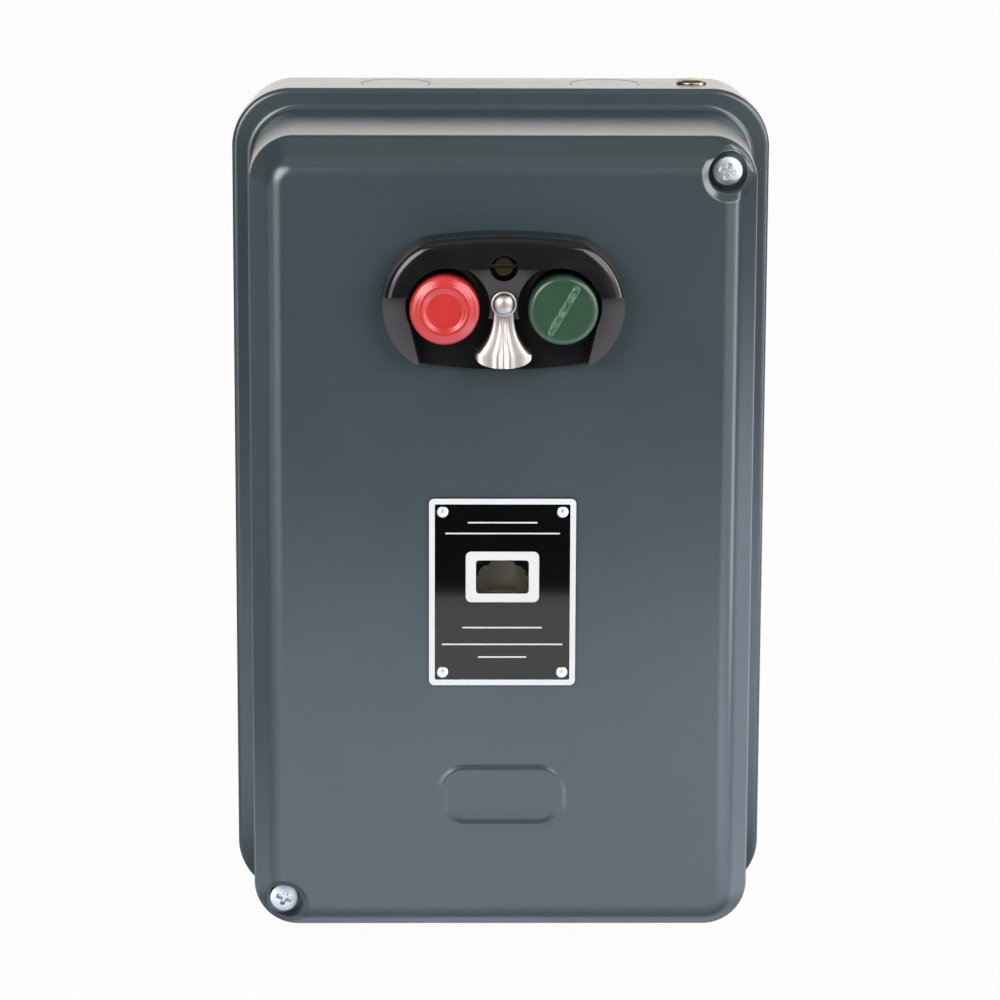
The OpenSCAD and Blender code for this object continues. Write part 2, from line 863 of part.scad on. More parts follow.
module armature() {
  color("dimgray") to_wall() translate([0, con_y, 0]) {
    bar(core_x, -core_h / 2, core_h / 2, arm_top - core_back, arm_top);
    core_legs(arm_z, arm_top - core_back + eps, arm_top - core_back + eps);
    bar(core_mid, -core_h / 2, core_h / 2, arm_z, arm_top);
  }
}

module contact_carrier() {
  color("burlywood") to_wall() translate([0, con_y, 0]) difference() {
    union() {
      bar(carrier_x, -carrier_y, carrier_y, arm_top, carrier_top);
      bar(tongue_x, -tongue_y, tongue_y, carrier_top - eps, tongue_top);
    }
    poles() bar(bridge_hw + bridge_gap, -carrier_y - eps, carrier_y + eps, bridge_z, window_top);
  }
}

module moving_contacts() {
  color("peru") to_wall() translate([0, con_y, 0]) poles() {
    bar(bridge_hw, -tip_y - tip_r, tip_y + tip_r, bridge_z, bridge_z + strip_t);
    for (s = [-1, 1]) translate([0, s * tip_y, 0]) post(tip_r, bridge_z - tip_h, bridge_z + eps);
  }
}

module contact_springs() {
  color("silver") to_wall() translate([0, con_y, 0]) poles()
    coil(contact_spring_r, fine_wire, bridge_z + strip_t, window_top, contact_turns);
}

module return_springs() {
  color("silver") to_wall() translate([0, con_y, 0]) both_x(return_x)
    coil(return_r, fine_wire, base_top, arm_top, return_turns);
}

module control_block() {
  color("black") to_wall() difference() {
    bar(block_x, block_y0, block_y1, hood_top, block_top);
    both_x(button_x) translate([0, button_y, 0]) {
      bar(block_in_x, -block_in_y, block_in_y, hood_top - eps, block_top - block_wall);
      post(plunger_r + plunger_fit, hood_top, block_top + eps);
    }
    translate([button_x, 0, start_z]) bar(control_strip_w, block_y0 - eps, block_y1 + eps, 0, control_t);
    translate([-button_x, 0, stop_z]) bar(control_strip_w, block_y0 - eps, block_y1 + eps, 0, control_t);
    both_x(block_foot_x) translate([0, block_foot_y, 0]) {
      post(m3_r + clear, hood_top - eps, block_top);
      post(m3_head_r + clear, hood_top + block_seat, block_top + eps);
    }
  }
}

module control_block_screws() {
  color("silver") to_wall() both_x(block_foot_x) translate([0, block_foot_y, hood_top + block_seat])
    screw(m3_head_r, m3_head_h, m3_r, block_screw_l);
}

// One pair of fixed control strips at level z, with their outer screws
module control_pair(z) {
  for (s = [-1, 1]) {
    y_out = (s > 0 ? block_y1 : block_y0) + s * control_ext;
    y_in = button_y + s * control_tip;
    difference() {
      bar(control_strip_w, min(y_in, y_out), max(y_in, y_out), z, z + control_t);
      translate([0, y_out - s * control_hole, 0]) post(m3_r, z - over, z + control_t + over);
    }
    translate([0, y_out - s * control_hole, z + control_t])
      screw(m3_head_r, m3_head_h, m3_r, control_t + control_tail);
  }
}

module control_contacts() {
  color("goldenrod") to_wall() {
    translate([button_x, 0, 0]) control_pair(start_z);
    translate([-button_x, 0, 0]) control_pair(stop_z);
  }
}

// Push rod of one control contact, with a slot for its bridge
module plunger(x) {
  to_wall() translate([x, button_y, 0]) difference() {
    post(plunger_r, plunger_z, plunger_top);
    bar(bridge_c_hw, -plunger_r - eps, plunger_r + eps, bridge_c_z, bridge_c_z + control_t);
  }
}

// Contact bridge carried by one push rod
module plunger_bridge(x) {
  to_wall() translate([x, button_y, bridge_c_z]) bar(bridge_c_hw, -bridge_c_l, bridge_c_l, 0, control_t);
}

module start_plunger() {
  color("darkgreen") plunger(button_x);
}

module start_bridge() {
  color("goldenrod") plunger_bridge(button_x);
}

module stop_plunger() {
  color("darkred") plunger(-button_x);
}

module stop_bridge() {
  color("goldenrod") plunger_bridge(-button_x);
}

module relay_case() {
  color("black") to_wall() difference() {
    union() {
      bar(relay_hw, relay_bot, relay_top, chassis_z, relay_case_z);
      bar(relay_hw, ledge_y, relay_bot + eps, chassis_z, ledge_z);
      both_x(pole_x / 2) bar(barrier_t / 2, ledge_y, relay_bot + eps, ledge_z - eps, relay_case_z);
    }
    poles() {
      bar(chamber_x, chamber_y0, chamber_y1, chamber_z0, relay_case_z + eps);
      bar(link_hw, relay_top - link_in, relay_top + eps, strip_z, strip_z + link_t);
      bar(strip_hw, relay_bot - eps, relay_strip_in, ledge_z, ledge_z + strip_t);
      translate([0, relay_term_y, 0]) post(m4_r + eps, ledge_z - relay_hole_l, ledge_z + eps);
    }
    both_x(relay_unit_x + relay_pocket_x)
      bar(relay_pocket_hw, ledge_y - eps, ledge_y + relay_pocket_h, pocket_z, ledge_z + eps);
    both_x(relay_unit_x) translate([0, relay_unit_y, 0]) post(m4_r + clear, chassis_z - eps, pocket_z + eps);
  }
}

module relay_front() {
  color("dimgray") to_wall() difference() {
    union() {
      bar(front_x, relay_bot + front_foot, relay_top - front_head, relay_case_z, front_top);
      translate([0, dial_y, 0]) post(turret_r, front_top - eps, turret_z);
    }
    bar(trip_x + trip_travel + trip_gap, trip_y0 - trip_gap, trip_y1 + trip_gap, relay_case_z - eps,
      trip_z1 + trip_gap);
    translate([0, dial_y, 0]) post(shaft_r + shaft_fit, front_top - bore_l, turret_z + eps);
    both_x(relay_pin_x) translate([0, relay_pin_y, front_top]) post(m3_r + eps, -relay_pin_l - over, eps);
  }
}

module bimetal_heaters() {
  pitch = (heater_y1 - heater_y0) / heater_turns;
  color("chocolate") to_wall() poles() {
    bar(heater_t / 2, chamber_y0, chamber_y1, heater_z - heater_hh, heater_z + heater_hh);
    for (i = [0:heater_turns - 1]) translate([0, heater_y0 + i * pitch, 0])
      bar(sleeve_t, 0, pitch * sleeve_k, heater_z - sleeve_hh, heater_z + sleeve_hh);
  }
}

module relay_strips() {
  color("peru") to_wall() poles() difference() {
    bar(strip_hw, ledge_y, relay_strip_in, ledge_z, ledge_z + strip_t);
    translate([0, relay_term_y, 0]) post(m4_r + eps, ledge_z - eps, ledge_z + strip_t + eps);
  }
}

module relay_terminal_screws() {
  color("silver") to_wall() poles() translate([0, relay_term_y, ledge_z + strip_t])
    screw(m4_head_r, m4_head_h, m4_r, main_screw_l);
}

module relay_pins() {
  color("goldenrod") to_wall() both_x(relay_pin_x) translate([0, relay_pin_y, front_top]) {
    difference() {
      bar(relay_pin_hw, -relay_pin_hh, relay_pin_hh, 0, control_t);
      post(m3_r, -eps, control_t + eps);
    }
    translate([0, 0, control_t]) screw(m3_head_r, m3_head_h, m3_r, relay_pin_l);
  }
}

module power_links() {
  color("peru") to_wall() poles() difference() {
    bar(link_hw, relay_top - link_in, con_y - term_y + link_in, strip_z, strip_z + link_t);
    translate([0, con_y - term_y, 0]) post(m4_r + eps, strip_z - eps, strip_z + link_t + eps);
  }
}

module trip_bar() {
  color("whitesmoke") to_wall() {
    bar(trip_x, trip_y0, trip_y1, trip_z0, trip_z1);
    poles() translate([heater_t, 0, 0])
      span(0, finger_w, trip_y0 + trip_gap, trip_y1 - trip_gap, heater_z, trip_z0 + eps);
  }
}

module setting_dial() {
  dial_z = turret_z + dial_gap;
  dial_top = dial_z + dial_t;
  color("saddlebrown") to_wall() translate([0, dial_y, 0]) difference() {
    union() {
      post(shaft_r, front_top - shaft_l, dial_z + eps);
      post(dial_r, dial_z, dial_top);
    }
    bar(dial_r / 2, -slot_w / 2, slot_w / 2, dial_top - slot_d, dial_top + eps);
    for (a = [0:30:330]) rotate([0, 0, a]) translate([dial_r + notch_out, 0, 0])
      post(notch_r, turret_z, dial_top + eps);
  }
}

module control_wires() {
  stop_h = stop_z + control_t / 2;
  start_h = start_z + control_t / 2;
  pin_h = front_top + wire_r;
  pin_x = relay_pin_x + relay_pin_hw;
  coil_h = coil_term_z + control_t / 2;
  coil_end = con_y + con_hh + coil_term_l;
  side_y = con_y - wire_drop;
  far_y = coil_end - coil_term_screw;
  color("firebrick") to_wall() {
    wire([[-button_x, block_y0 - control_ext, stop_h], [-button_x, side_y, stop_h],
      [-wire_side, side_y, stop_h], [-wire_side, relay_pin_y, stop_h],
      [-wire_side, relay_pin_y, pin_h], [-pin_x, relay_pin_y, pin_h]]);
    wire([[button_x, block_y1 + control_ext, start_h], [button_x, wire_top, start_h],
      [button_x, wire_top, coil_h], [button_x, coil_end, coil_h]]);
    wire([[pin_x, relay_pin_y, pin_h], [wire_side, relay_pin_y, pin_h],
      [wire_side, relay_pin_y, wire_z], [wire_side, far_y, wire_z],
      [-button_x, far_y, wire_z], [-button_x, far_y, coil_term_z + control_t + m3_head_h]]);
  }
}

// Tapered screw seat up to a level, grown by o
module seat(o, top) {
  h = top - seat_z + o;
  translate([0, 0, seat_z - o])
    cylinder(r1 = seat_r + o, r2 = seat_r + o + seat_flare * h / seat_d, h = h);
}

module cover() {
  color("slategray") to_wall() difference() {
    union() {
      difference() {
        union() {
          translate([0, 0, rim_z]) {
            ring_sweep(rim_w / 2 - rim_r, rim_h / 2 - rim_r)
              polygon(concat(arc([rim_r - rim_bend, -rim_bend], rim_bend, 90, 0),
                [[rim_r, -skirt], [rim_r - cover_t, -skirt]],
                arc([rim_r - rim_bend, -rim_bend], rim_bend - cover_t, 0, 90)));
            translate([0, 0, -cover_t]) linear_extrude(cover_t)
              rrect(rim_w - 2 * rim_bend, rim_h - 2 * rim_bend, rim_r - rim_bend);
          }
          body_solid(0, cover_t);
        }
        body_solid(cover_t, 2 * cover_t);
      }
      intersection() {
        body_solid(0, 0);
        at_cover_screws() seat(cover_t, face_z);
      }
      translate([0, badge_y, face_z - eps]) linear_extrude(badge_t) rrect(badge_w, badge_h, badge_r);
    }
    translate([0, badge_y, inner_z - eps]) linear_extrude(badge_t)
      rrect(badge_w - 2 * cover_t, badge_h - 2 * cover_t, badge_r - cover_t);
    at_cover_screws() {
      seat(0, face_z + over);
      post(m5_r + clear, pillar_z, face_z);
    }
    translate([0, 0, inner_z - over]) linear_extrude(cover_t + 2 * over) {
      translate([0, window_y]) rrect(window_w, window_h, window_r);
      translate([0, plate_y]) four(rivet_x, rivet_y) circle(rivet_r * shank_k + eps);
      both_x(button_x) translate([0, button_y]) circle(guide_r + clear);
      translate([0, screw_well_y]) circle(m4_r + clear);
      translate([0, lever_y]) circle(pivot_r + clear);
    }
  }
}

module cover_screws() {
  color("silver") to_wall() at_cover_screws() translate([0, 0, seat_z])
    screw(m5_head_r, m5_head_h, m5_r, cover_screw_l);
}

module nameplate() {
  color("black") to_wall() translate([0, 0, face_z]) linear_extrude(plate_t) difference() {
    translate([0, plate_y]) rrect(plate_w, plate_h, plate_r);
    translate([0, window_y]) rrect(window_w, window_h, window_r);
    translate([0, plate_y]) four(rivet_x, rivet_y) circle(rivet_r * shank_k + eps);
  }
}

module nameplate_rivets() {
  head_z = face_z + plate_t;
  color("gainsboro") to_wall() translate([0, plate_y, 0]) four(rivet_x, rivet_y) {
    post(rivet_r * shank_k, inner_z - rivet_tail, head_z + eps);
    intersection() {
      post(rivet_r, head_z, head_z + rivet_r);
      translate([0, 0, head_z - rivet_r * 0.9]) sphere(rivet_r * 1.35);
    }
    post(rivet_r, inner_z - rivet_tail, inner_z);
  }
}

module window_pane() {
  color("lightcyan") to_wall() translate([0, window_y, inner_z - pane_t]) linear_extrude(pane_t)
    rrect(window_w + 2 * pane_lap, window_h + 2 * pane_lap, plate_r);
}

// Space round the buttons and the lever, cut into the housing and open below
module station_recess() {
  side = well_x + well_r;
  low_y = station_y - station_r - over;
  web_y = lever_y - lever_hub_r - over;
  both_x(well_x) translate([0, button_y, 0]) post(well_r, well_z, brow_z + over);
  translate([0, 0, well_z]) linear_extrude(brow_z - well_z + over)
    polygon([[-side, button_y], [-recess_x, low_y], [recess_x, low_y], [side, button_y], [well_x, button_y],
      [well_x, web_y], [-well_x, web_y], [-well_x, button_y]]);
}

module button_housing() {
  color("black") to_wall() difference() {
    union() {
      station_block(station_d, side_r);
      difference() {
        station_block(station_d + brow_d, brow_r);
        translate([0, station_y + brow_end, 0])
          bar(station_x + station_r, -2 * station_r, 0, web_z, brow_z + over);
        bar(web_hw, station_y, screw_well_y, web_z, brow_z + over);
      }
      both_x(button_x) translate([0, button_y, 0]) post(guide_r, face_z - guide_l, face_z + eps);
    }
    station_recess();
    both_x(button_x) translate([0, button_y, 0])
      post(stem_r + stem_fit, face_z - guide_l - eps, well_z + eps);
    translate([0, screw_well_y, 0]) {
      post(screw_well_r, face_z + screw_floor, brow_z + eps);
      post(m4_r + clear, face_z - eps, face_z + screw_floor + eps);
    }
    translate([0, lever_y, 0]) post(pivot_r + eps, face_z - eps, web_z + eps);
  }
}

module housing_screw() {
  color("goldenrod") to_wall() translate([0, screw_well_y, face_z + screw_floor])
    screw(screw_well_r - 2 * clear, m4_head_h, m4_r, housing_screw_l);
}

module housing_clamp() {
  color("silver") to_wall() translate([0, 0, inner_z - clamp_t]) linear_extrude(clamp_t) difference() {
    translate([0, screw_well_y + clamp_up]) rrect(clamp_w, clamp_h, clamp_r);
    translate([0, screw_well_y]) circle(m4_r + eps);
    both_x(button_x) translate([0, button_y]) circle(guide_r + over);
    translate([0, lever_y]) circle(pivot_r + pivot_head + 2 * clear);
  }
}

module lever_rivet() {
  head_z = lever_z + lever_t;
  color("gainsboro") to_wall() translate([0, lever_y, 0]) {
    post(pivot_r, inner_z - rivet_tail, head_z + pivot_r);
    post(pivot_r + pivot_head, inner_z - rivet_tail, inner_z);
    intersection() {
      post(lever_hub_r - 2 * clear, head_z + hub_h + clear, head_z + lever_hub_r);
      translate([0, 0, head_z]) sphere(lever_hub_r - clear);
    }
  }
}

// Half width of the lever at a share t of its length
function lever_w(t) = lever_neck + (lever_foot - lever_neck) * pow(min(t / lever_flare, 1), 3);

module lock_lever() {
  ts = [for (i = [0:2 * steps]) i / (2 * steps)];
  color("white") to_wall() translate([0, lever_y, lever_z]) difference() {
    union() {
      intersection() {
        union() {
          translate([0, 0, -lever_axis]) rotate([90, 0, 0]) rotate_extrude()
            polygon(concat([[0, 0]], [for (t = ts) [norm([lever_w(t), lever_axis]), lever_l * t]],
              [[0, lever_l]]));
          for (m = [0, 1]) mirror([m, 0, 0]) linear_extrude(lever_t)
            polygon(concat([[0, 0]], [for (t = ts) [lever_w(t), -lever_l * t]], [[0, -lever_l]]));
        }
        translate([0, lever_bottom_r - lever_l, 0]) post(lever_bottom_r, 0, lever_l);
      }
      post(lever_hub_r, 0, lever_t + hub_h);
    }
    post(pivot_r + stem_fit, -eps, lever_l);
  }
}

// Hollow push-button cap with its stem
module button() {
  difference() {
    union() {
      post(button_r, cap_z, cap_top - cap_edge);
      translate([0, 0, cap_top - cap_edge])
        cylinder(r1 = button_r, r2 = button_r - cap_chamfer, h = cap_edge);
    }
    post(cap_hollow_r, cap_z - eps, cap_top - cap_roof);
  }
  difference() {
    post(stem_r, stem_z, cap_top - cap_roof + eps);
    difference() {
      post(stem_r + over, clip_z, clip_z + clip_t);
      post(groove_r, clip_z - eps, clip_z + clip_t + eps);
    }
  }
}

// Retaining clip in the stem groove
module button_clip(x) {
  to_wall() translate([x, button_y, 0]) difference() {
    post(clip_r, clip_z, clip_z + clip_t);
    post(groove_r, clip_z - eps, clip_z + clip_t + eps);
    bar(clip_gap, 0, clip_r + over, clip_z - eps, clip_z + clip_t + eps);
  }
}

// Return spring under one cap
module button_spring(x) {
  to_wall() translate([x, button_y, 0])
    coil(button_spring_r, spring_wire, well_z, cap_top - cap_roof, button_turns);
}

module stop_button() {
  color("red") to_wall() translate([-button_x, button_y, 0]) {
    button();
    translate([0, 0, cap_top - eps]) difference() {
      cylinder(r1 = button_r - ring_out, r2 = button_r - ring_out - ring_slope, h = ring_h);
      translate([0, 0, -eps])
        cylinder(r1 = button_r - ring_in, r2 = button_r - ring_in + ring_slope, h = ring_h + 3 * eps);
    }
  }
}

module stop_spring() {
  color("silver") button_spring(-button_x);
}

module stop_clip() {
  color("silver") button_clip(-button_x);
}

module start_button() {
  color("green") to_wall() translate([button_x, button_y, 0]) {
    button();
    translate([0, 0, cap_top - eps]) rotate([0, 0, bar_turn]) linear_extrude(bar_h)
      rrect(bar_w, 2 * button_r - bar_short, bar_w / 2 - eps);
  }
}

module start_spring() {
  color("silver") button_spring(button_x);
}

module start_clip() {
  color("silver") button_clip(button_x);
}

enclosure_box();
knockout_blanks();
earth_screws();
earth_washers();
earth_nuts();
cover_pillars();
cover_gasket();
chassis_plate();
chassis_screws();
unit_screws();
contactor_base();
magnet_yoke();
shading_rings();
coil_bobbin();
coil_winding();
coil_terminals();
contact_deck();
fixed_contacts();
main_terminal_screws();
arc_hood();
arc_hood_screws();
armature();
contact_carrier();
moving_contacts();
contact_springs();
return_springs();
control_block();
control_block_screws();
control_contacts();
start_plunger();
start_bridge();
stop_plunger();
stop_bridge();
relay_case();
relay_front();
bimetal_heaters();
relay_strips();
relay_terminal_screws();
relay_pins();
power_links();
trip_bar();
setting_dial();
control_wires();
cover();
cover_screws();
nameplate();
nameplate_rivets();
window_pane();
button_housing();
housing_screw();
housing_clamp();
lever_rivet();
lock_lever();
stop_button();
stop_spring();
stop_clip();
start_button();
start_spring();
start_clip();
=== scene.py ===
"""Looks of a magnetic motor starter in a pressed-steel enclosure.

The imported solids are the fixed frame. The pieces that the eye dwells on are worked out here as smooth
surfaces, every other solid gets a merged copy with softened edges, and each takes a procedural finish.
Sizes are millimetres in the drawing frame: x to the right, y up the wall, h out from the wall.
"""

from __future__ import annotations

import json
import logging
import math
from dataclasses import dataclass, field
from enum import Enum
from typing import Any, Callable, Iterable, Sequence

import bmesh
import bpy
import numpy as np
from mathutils import Matrix, Vector

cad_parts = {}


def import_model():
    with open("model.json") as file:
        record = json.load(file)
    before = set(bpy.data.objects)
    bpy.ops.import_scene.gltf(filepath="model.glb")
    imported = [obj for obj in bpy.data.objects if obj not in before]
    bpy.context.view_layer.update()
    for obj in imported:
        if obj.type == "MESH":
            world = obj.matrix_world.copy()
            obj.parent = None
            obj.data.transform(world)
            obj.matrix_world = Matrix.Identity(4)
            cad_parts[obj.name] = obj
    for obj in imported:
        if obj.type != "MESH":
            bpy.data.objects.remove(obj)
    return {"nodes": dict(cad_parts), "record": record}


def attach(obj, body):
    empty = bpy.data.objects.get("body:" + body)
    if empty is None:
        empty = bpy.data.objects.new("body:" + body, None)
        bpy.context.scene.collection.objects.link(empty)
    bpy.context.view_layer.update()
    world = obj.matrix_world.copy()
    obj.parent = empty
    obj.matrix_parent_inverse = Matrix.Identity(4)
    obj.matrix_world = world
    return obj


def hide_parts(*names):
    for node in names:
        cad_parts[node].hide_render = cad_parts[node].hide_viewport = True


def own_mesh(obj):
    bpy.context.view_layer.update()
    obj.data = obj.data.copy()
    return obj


LOG = logging.getLogger("starter")
MM = 0.001
Colour = tuple[float, float, float]
Band = tuple[float, float]
BUTTON_X = 16.8
BUTTON_Y = 71.7
BUTTON_TOP = 119.4
LEVER_Y = 73.0
TONE: Band = (0.3, 0.7)


class Body(Enum):
    """Moving groups of the starter, by their names in the frame."""

    ENCLOSURE = "enclosure"
    CARRIER = "carrier"
    COVER = "cover"
    STOP = "stop"
    START = "start"
    LEVER = "lever"
    STOP_ROD = "stop_rod"
    START_ROD = "start_rod"
    TRIP = "trip"
    DIAL = "dial"


class Slot(Enum):
    """Material slots of the record."""

    PAINT = "paint"
    GASKET = "gasket_rubber"
    ZINC = "zinc"
    GALVANISED = "galvanised"
    BRASS = "brass"
    COPPER = "copper"
    BROWN = "bakelite_brown"
    BLACK = "bakelite_black"
    GREY = "grey_plastic"
    IVORY = "ivory_plastic"
    CORE = "lamination"
    TAPE = "coil_tape"
    SPRING = "spring_steel"
    BIMETAL = "bimetal"
    RED = "red_plastic"
    GREEN = "green_plastic"
    CHROME = "chrome"
    PANE = "clear_pane"
    PLATE = "plate_black"
    WIRE = "wire_red"


def place(x: Any, y: Any, h: Any) -> np.ndarray:
    """Turns drawing-frame points into the part's frame.

    Args:
        x: distance to the right, mm.
        y: distance up the wall, mm.
        h: height out from the wall, mm.

    Returns:
        Points in metres, with h along -Y and y along Z.
    """
    x, y, h = np.broadcast_arrays(np.asarray(x, float), np.asarray(y, float), np.asarray(h, float))
    return np.stack([x, -h, y], axis=-1) * MM


def smoothstep(low: float, high: float, value: np.ndarray) -> np.ndarray:
    """Rises from 0 at low to 1 at high along 3t^2 - 2t^3."""
    t = np.clip((value - low) / (high - low), 0.0, 1.0)
    return t * t * (3.0 - 2.0 * t)


def arc_points(centre: Sequence[float], radius: float, start: float, end: float, steps: int) -> np.ndarray:
    """Points along a circular arc.

    Args:
        centre: middle of the arc.
        radius: its radius.
        start: first angle, degrees.
        end: last angle, degrees.
        steps: number of points.

    Returns:
        Array of points, shape (steps, 2).
    """
    angle = np.radians(np.linspace(start, end, steps))
    return np.asarray(centre, float) + radius * np.stack([np.cos(angle), np.sin(angle)], axis=-1)


def dome_points(radius: float, base: float, rise: float, steps: int) -> np.ndarray:
    """Points (radius, h) up a quarter ellipse, from its rim at base to its top."""
    angle = np.radians(np.linspace(0.0, 90.0, steps))
    return np.column_stack([radius * np.cos(angle), base + rise * np.sin(angle)])


def around(count: int) -> np.ndarray:
    """Angles of count places evenly round a circle, radians."""
    return np.linspace(0.0, 2.0 * np.pi, count, endpoint=False)


def between(first: np.ndarray, last: np.ndarray, count: int) -> np.ndarray:
    """Points evenly inside a straight run, without its ends."""
    run = np.linspace(0.0, 1.0, count + 2)[1:-1, None]
    return first * (1.0 - run) + last * run


def operator(operation: str, swapped: bool = False) -> Callable[["Sock", Any], "Sock"]:
    """Makes a Sock operator that adds one Math node, with the Sock second if swapped."""

    def method(sock: "Sock", other: Any) -> "Sock":
        """Adds the node."""
        return sock.math(operation, *((other, sock) if swapped else (sock, other)))

    return method


class Sock:
    """A shader socket that takes part in plain arithmetic: each operator adds a Math node."""

    def __init__(self, tree: "NodeSheet", socket: bpy.types.NodeSocket) -> None:
        """Wraps one output socket of a tree."""
        self.tree = tree
        self.socket = socket

    def math(self, operation: str, first: Any, second: Any = 0.0) -> "Sock":
        """Adds one Math node on two values."""
        return self.tree.node("ShaderNodeMath", {0: first, 1: second}, operation=operation)

    __add__ = __radd__ = operator("ADD")
    __sub__, __rsub__ = operator("SUBTRACT"), operator("SUBTRACT", swapped=True)
    __mul__ = __rmul__ = operator("MULTIPLY")
    __truediv__, __rtruediv__ = operator("DIVIDE"), operator("DIVIDE", swapped=True)

    def __abs__(self) -> "Sock":
        """Absolute value."""
        return self.math("ABSOLUTE", self)

    def sine(self) -> "Sock":
        """Sine of the value in radians."""
        return self.math("SINE", self)

    def below(self, limit: float) -> "Sock":
        """1 where the value is under the limit, else 0."""
        return self.math("LESS_THAN", self, limit)


class NodeSheet:
    """A node tree and a short way to add nodes to it."""

    def __init__(self, tree: bpy.types.NodeTree, coords: str) -> None:
        """Empties a tree and gives it one set of texture coordinates."""
        self.tree = tree
        self.tree.nodes.clear()
        self.coords = self.node("ShaderNodeTexCoord", output=coords)

    def feed(self, socket: bpy.types.NodeSocket, value: Any) -> None:
        """Links a Sock to a socket, or sets a plain value on it."""
        if isinstance(value, Sock):
            self.tree.links.new(value.socket, socket)
        elif isinstance(value, tuple) and socket.type == "RGBA" and len(value) == 3:
            socket.default_value = (*value, 1.0)
        else:
            socket.default_value = value

    def node(
        self, kind: str, inputs: dict[int | str, Any] | None = None, output: int | str = 0, **settings: Any
    ) -> Sock:
        """Adds a node.

        Args:
            kind: the node's type name.
            inputs: values or Socks by socket name or index.
            output: name or index of the output that is returned.
            **settings: attributes of the node, set first.

        Returns:
            The chosen output.
        """
        made = self.tree.nodes.new(kind)
        for key, value in settings.items():
            setattr(made, key, value)
        for key, value in (inputs or {}).items():
            self.feed(made.inputs[key], value)
        return Sock(self, made.outputs[output])

    def axis(self, name: str) -> Sock:
        """One coordinate, X, Y or Z."""
        return self.node("ShaderNodeSeparateXYZ", {0: self.coords}, output=name)

    def mix(self, factor: Any, first: Any, second: Any) -> Sock:
        """Colour between first and second."""
        inputs = {0: factor, 6: first, 7: second}
        return self.node("ShaderNodeMix", inputs, output=2, data_type="RGBA", clamp_factor=True)

    def ramp(self, value: Sock, low: float, high: float) -> Sock:
        """Value stretched so that low gives 0 and high gives 1, clamped."""
        inputs = {"Value": value, "From Min": low, "From Max": high}
        return self.node("ShaderNodeMapRange", inputs, clamp=True)

    def hill(self, value: Sock, up: Band, down: Band) -> Sock:
        """Value that grows from 0 to 1 over one band and falls back over another."""
        return self.ramp(value, *up) * (1.0 - self.ramp(value, *down))

    def ray(self, kind: str) -> Sock:
        """1 for rays of one kind, else 0."""
        return self.node("ShaderNodeLightPath", output=f"Is {kind} Ray")


class ShaderTree(NodeSheet):
    """One material with a Principled shader."""

    def __init__(self, name: str) -> None:
        """Starts a material with its shader linked to the output."""
        self.material = bpy.data.materials.new(name)
        self.material.use_nodes = True
        super().__init__(self.material.node_tree, "Object")
        self.out = self.tree.nodes.new("ShaderNodeOutputMaterial").inputs["Surface"]
        self.shader = self.tree.nodes.new("ShaderNodeBsdfPrincipled")
        self.feed(self.out, Sock(self, self.shader.outputs[0]))

    def noise(self, size: float, detail: float = 2.0, stretch: Sequence[float] | None = None) -> Sock:
        """Noise with features of about size mm, drawn out along an axis by stretch."""
        vector = self.coords
        if stretch is not None:
            vector = self.node("ShaderNodeVectorMath", {0: vector, 1: tuple(stretch)}, operation="MULTIPLY")
        scale = 1.0 / (size * MM)
        return self.node("ShaderNodeTexNoise", {"Vector": vector, "Scale": scale, "Detail": detail})

    def cells(self, size: float) -> Sock:
        """A random grey for each cell of about size mm."""
        inputs = {"Vector": self.coords, "Scale": 1.0 / (size * MM)}
        cell = self.node("ShaderNodeTexVoronoi", inputs, output="Color")
        return self.node("ShaderNodeSeparateXYZ", {0: cell})

    def blend(self, first: Sock, second: Sock, share: float) -> Sock:
        """Sum of two values in which the second has a share."""
        return first * (1.0 - share) + second * share

    def waves(self, value: Sock, pitch: float) -> Sock:
        """Value from 0 to 1 that swings once in each pitch mm."""
        return (value * (2.0 * math.pi / (pitch * MM))).sine() * 0.5 + 0.5

    def bump(self, height: Sock, depth: float) -> Sock:
        """Normal of a surface that rises by up to depth mm."""
        return self.node("ShaderNodeBump", {"Height": height, "Strength": 1.0, "Distance": depth * MM})

    def finish(self, **sockets: Any) -> bpy.types.Material:
        """Feeds the shader's sockets, named with underscores, and returns the material."""
        for key, value in sockets.items():
            self.feed(self.shader.inputs[key.replace("_", " ")], value)
        return self.material


@dataclass(frozen=True)
class Enamel:
    """Stoved paint on pressed steel: a faint mottle, orange peel and a soft gloss."""

    name: str
    dark: Colour
    light: Colour
    roughness: float
    spread: float = 0.06
    peel: float = 0.006
    specular: float = 0.5
    sheen: Colour = (1.0, 1.0, 1.0)
    mottle: float = 38.0
    patch: float = 14.0
    orange: float = 3.2
    grain: float = 0.9
    grain_share: float = 0.15

    def material(self) -> bpy.types.Material:
        """Builds the material."""
        tree = ShaderTree(self.name)
        tone = tree.blend(tree.noise(self.mottle, 3.0), tree.noise(self.grain, 1.0), self.grain_share)
        return tree.finish(
            Base_Color=tree.mix(tree.ramp(tone, *TONE), self.dark, self.light),
            Roughness=self.roughness + self.spread * (tree.noise(self.patch, 3.0) - 0.5),
            Normal=tree.bump(tree.noise(self.orange, 1.0), self.peel),
            Specular_IOR_Level=self.specular,
            Specular_Tint=(*self.sheen, 1.0),
        )


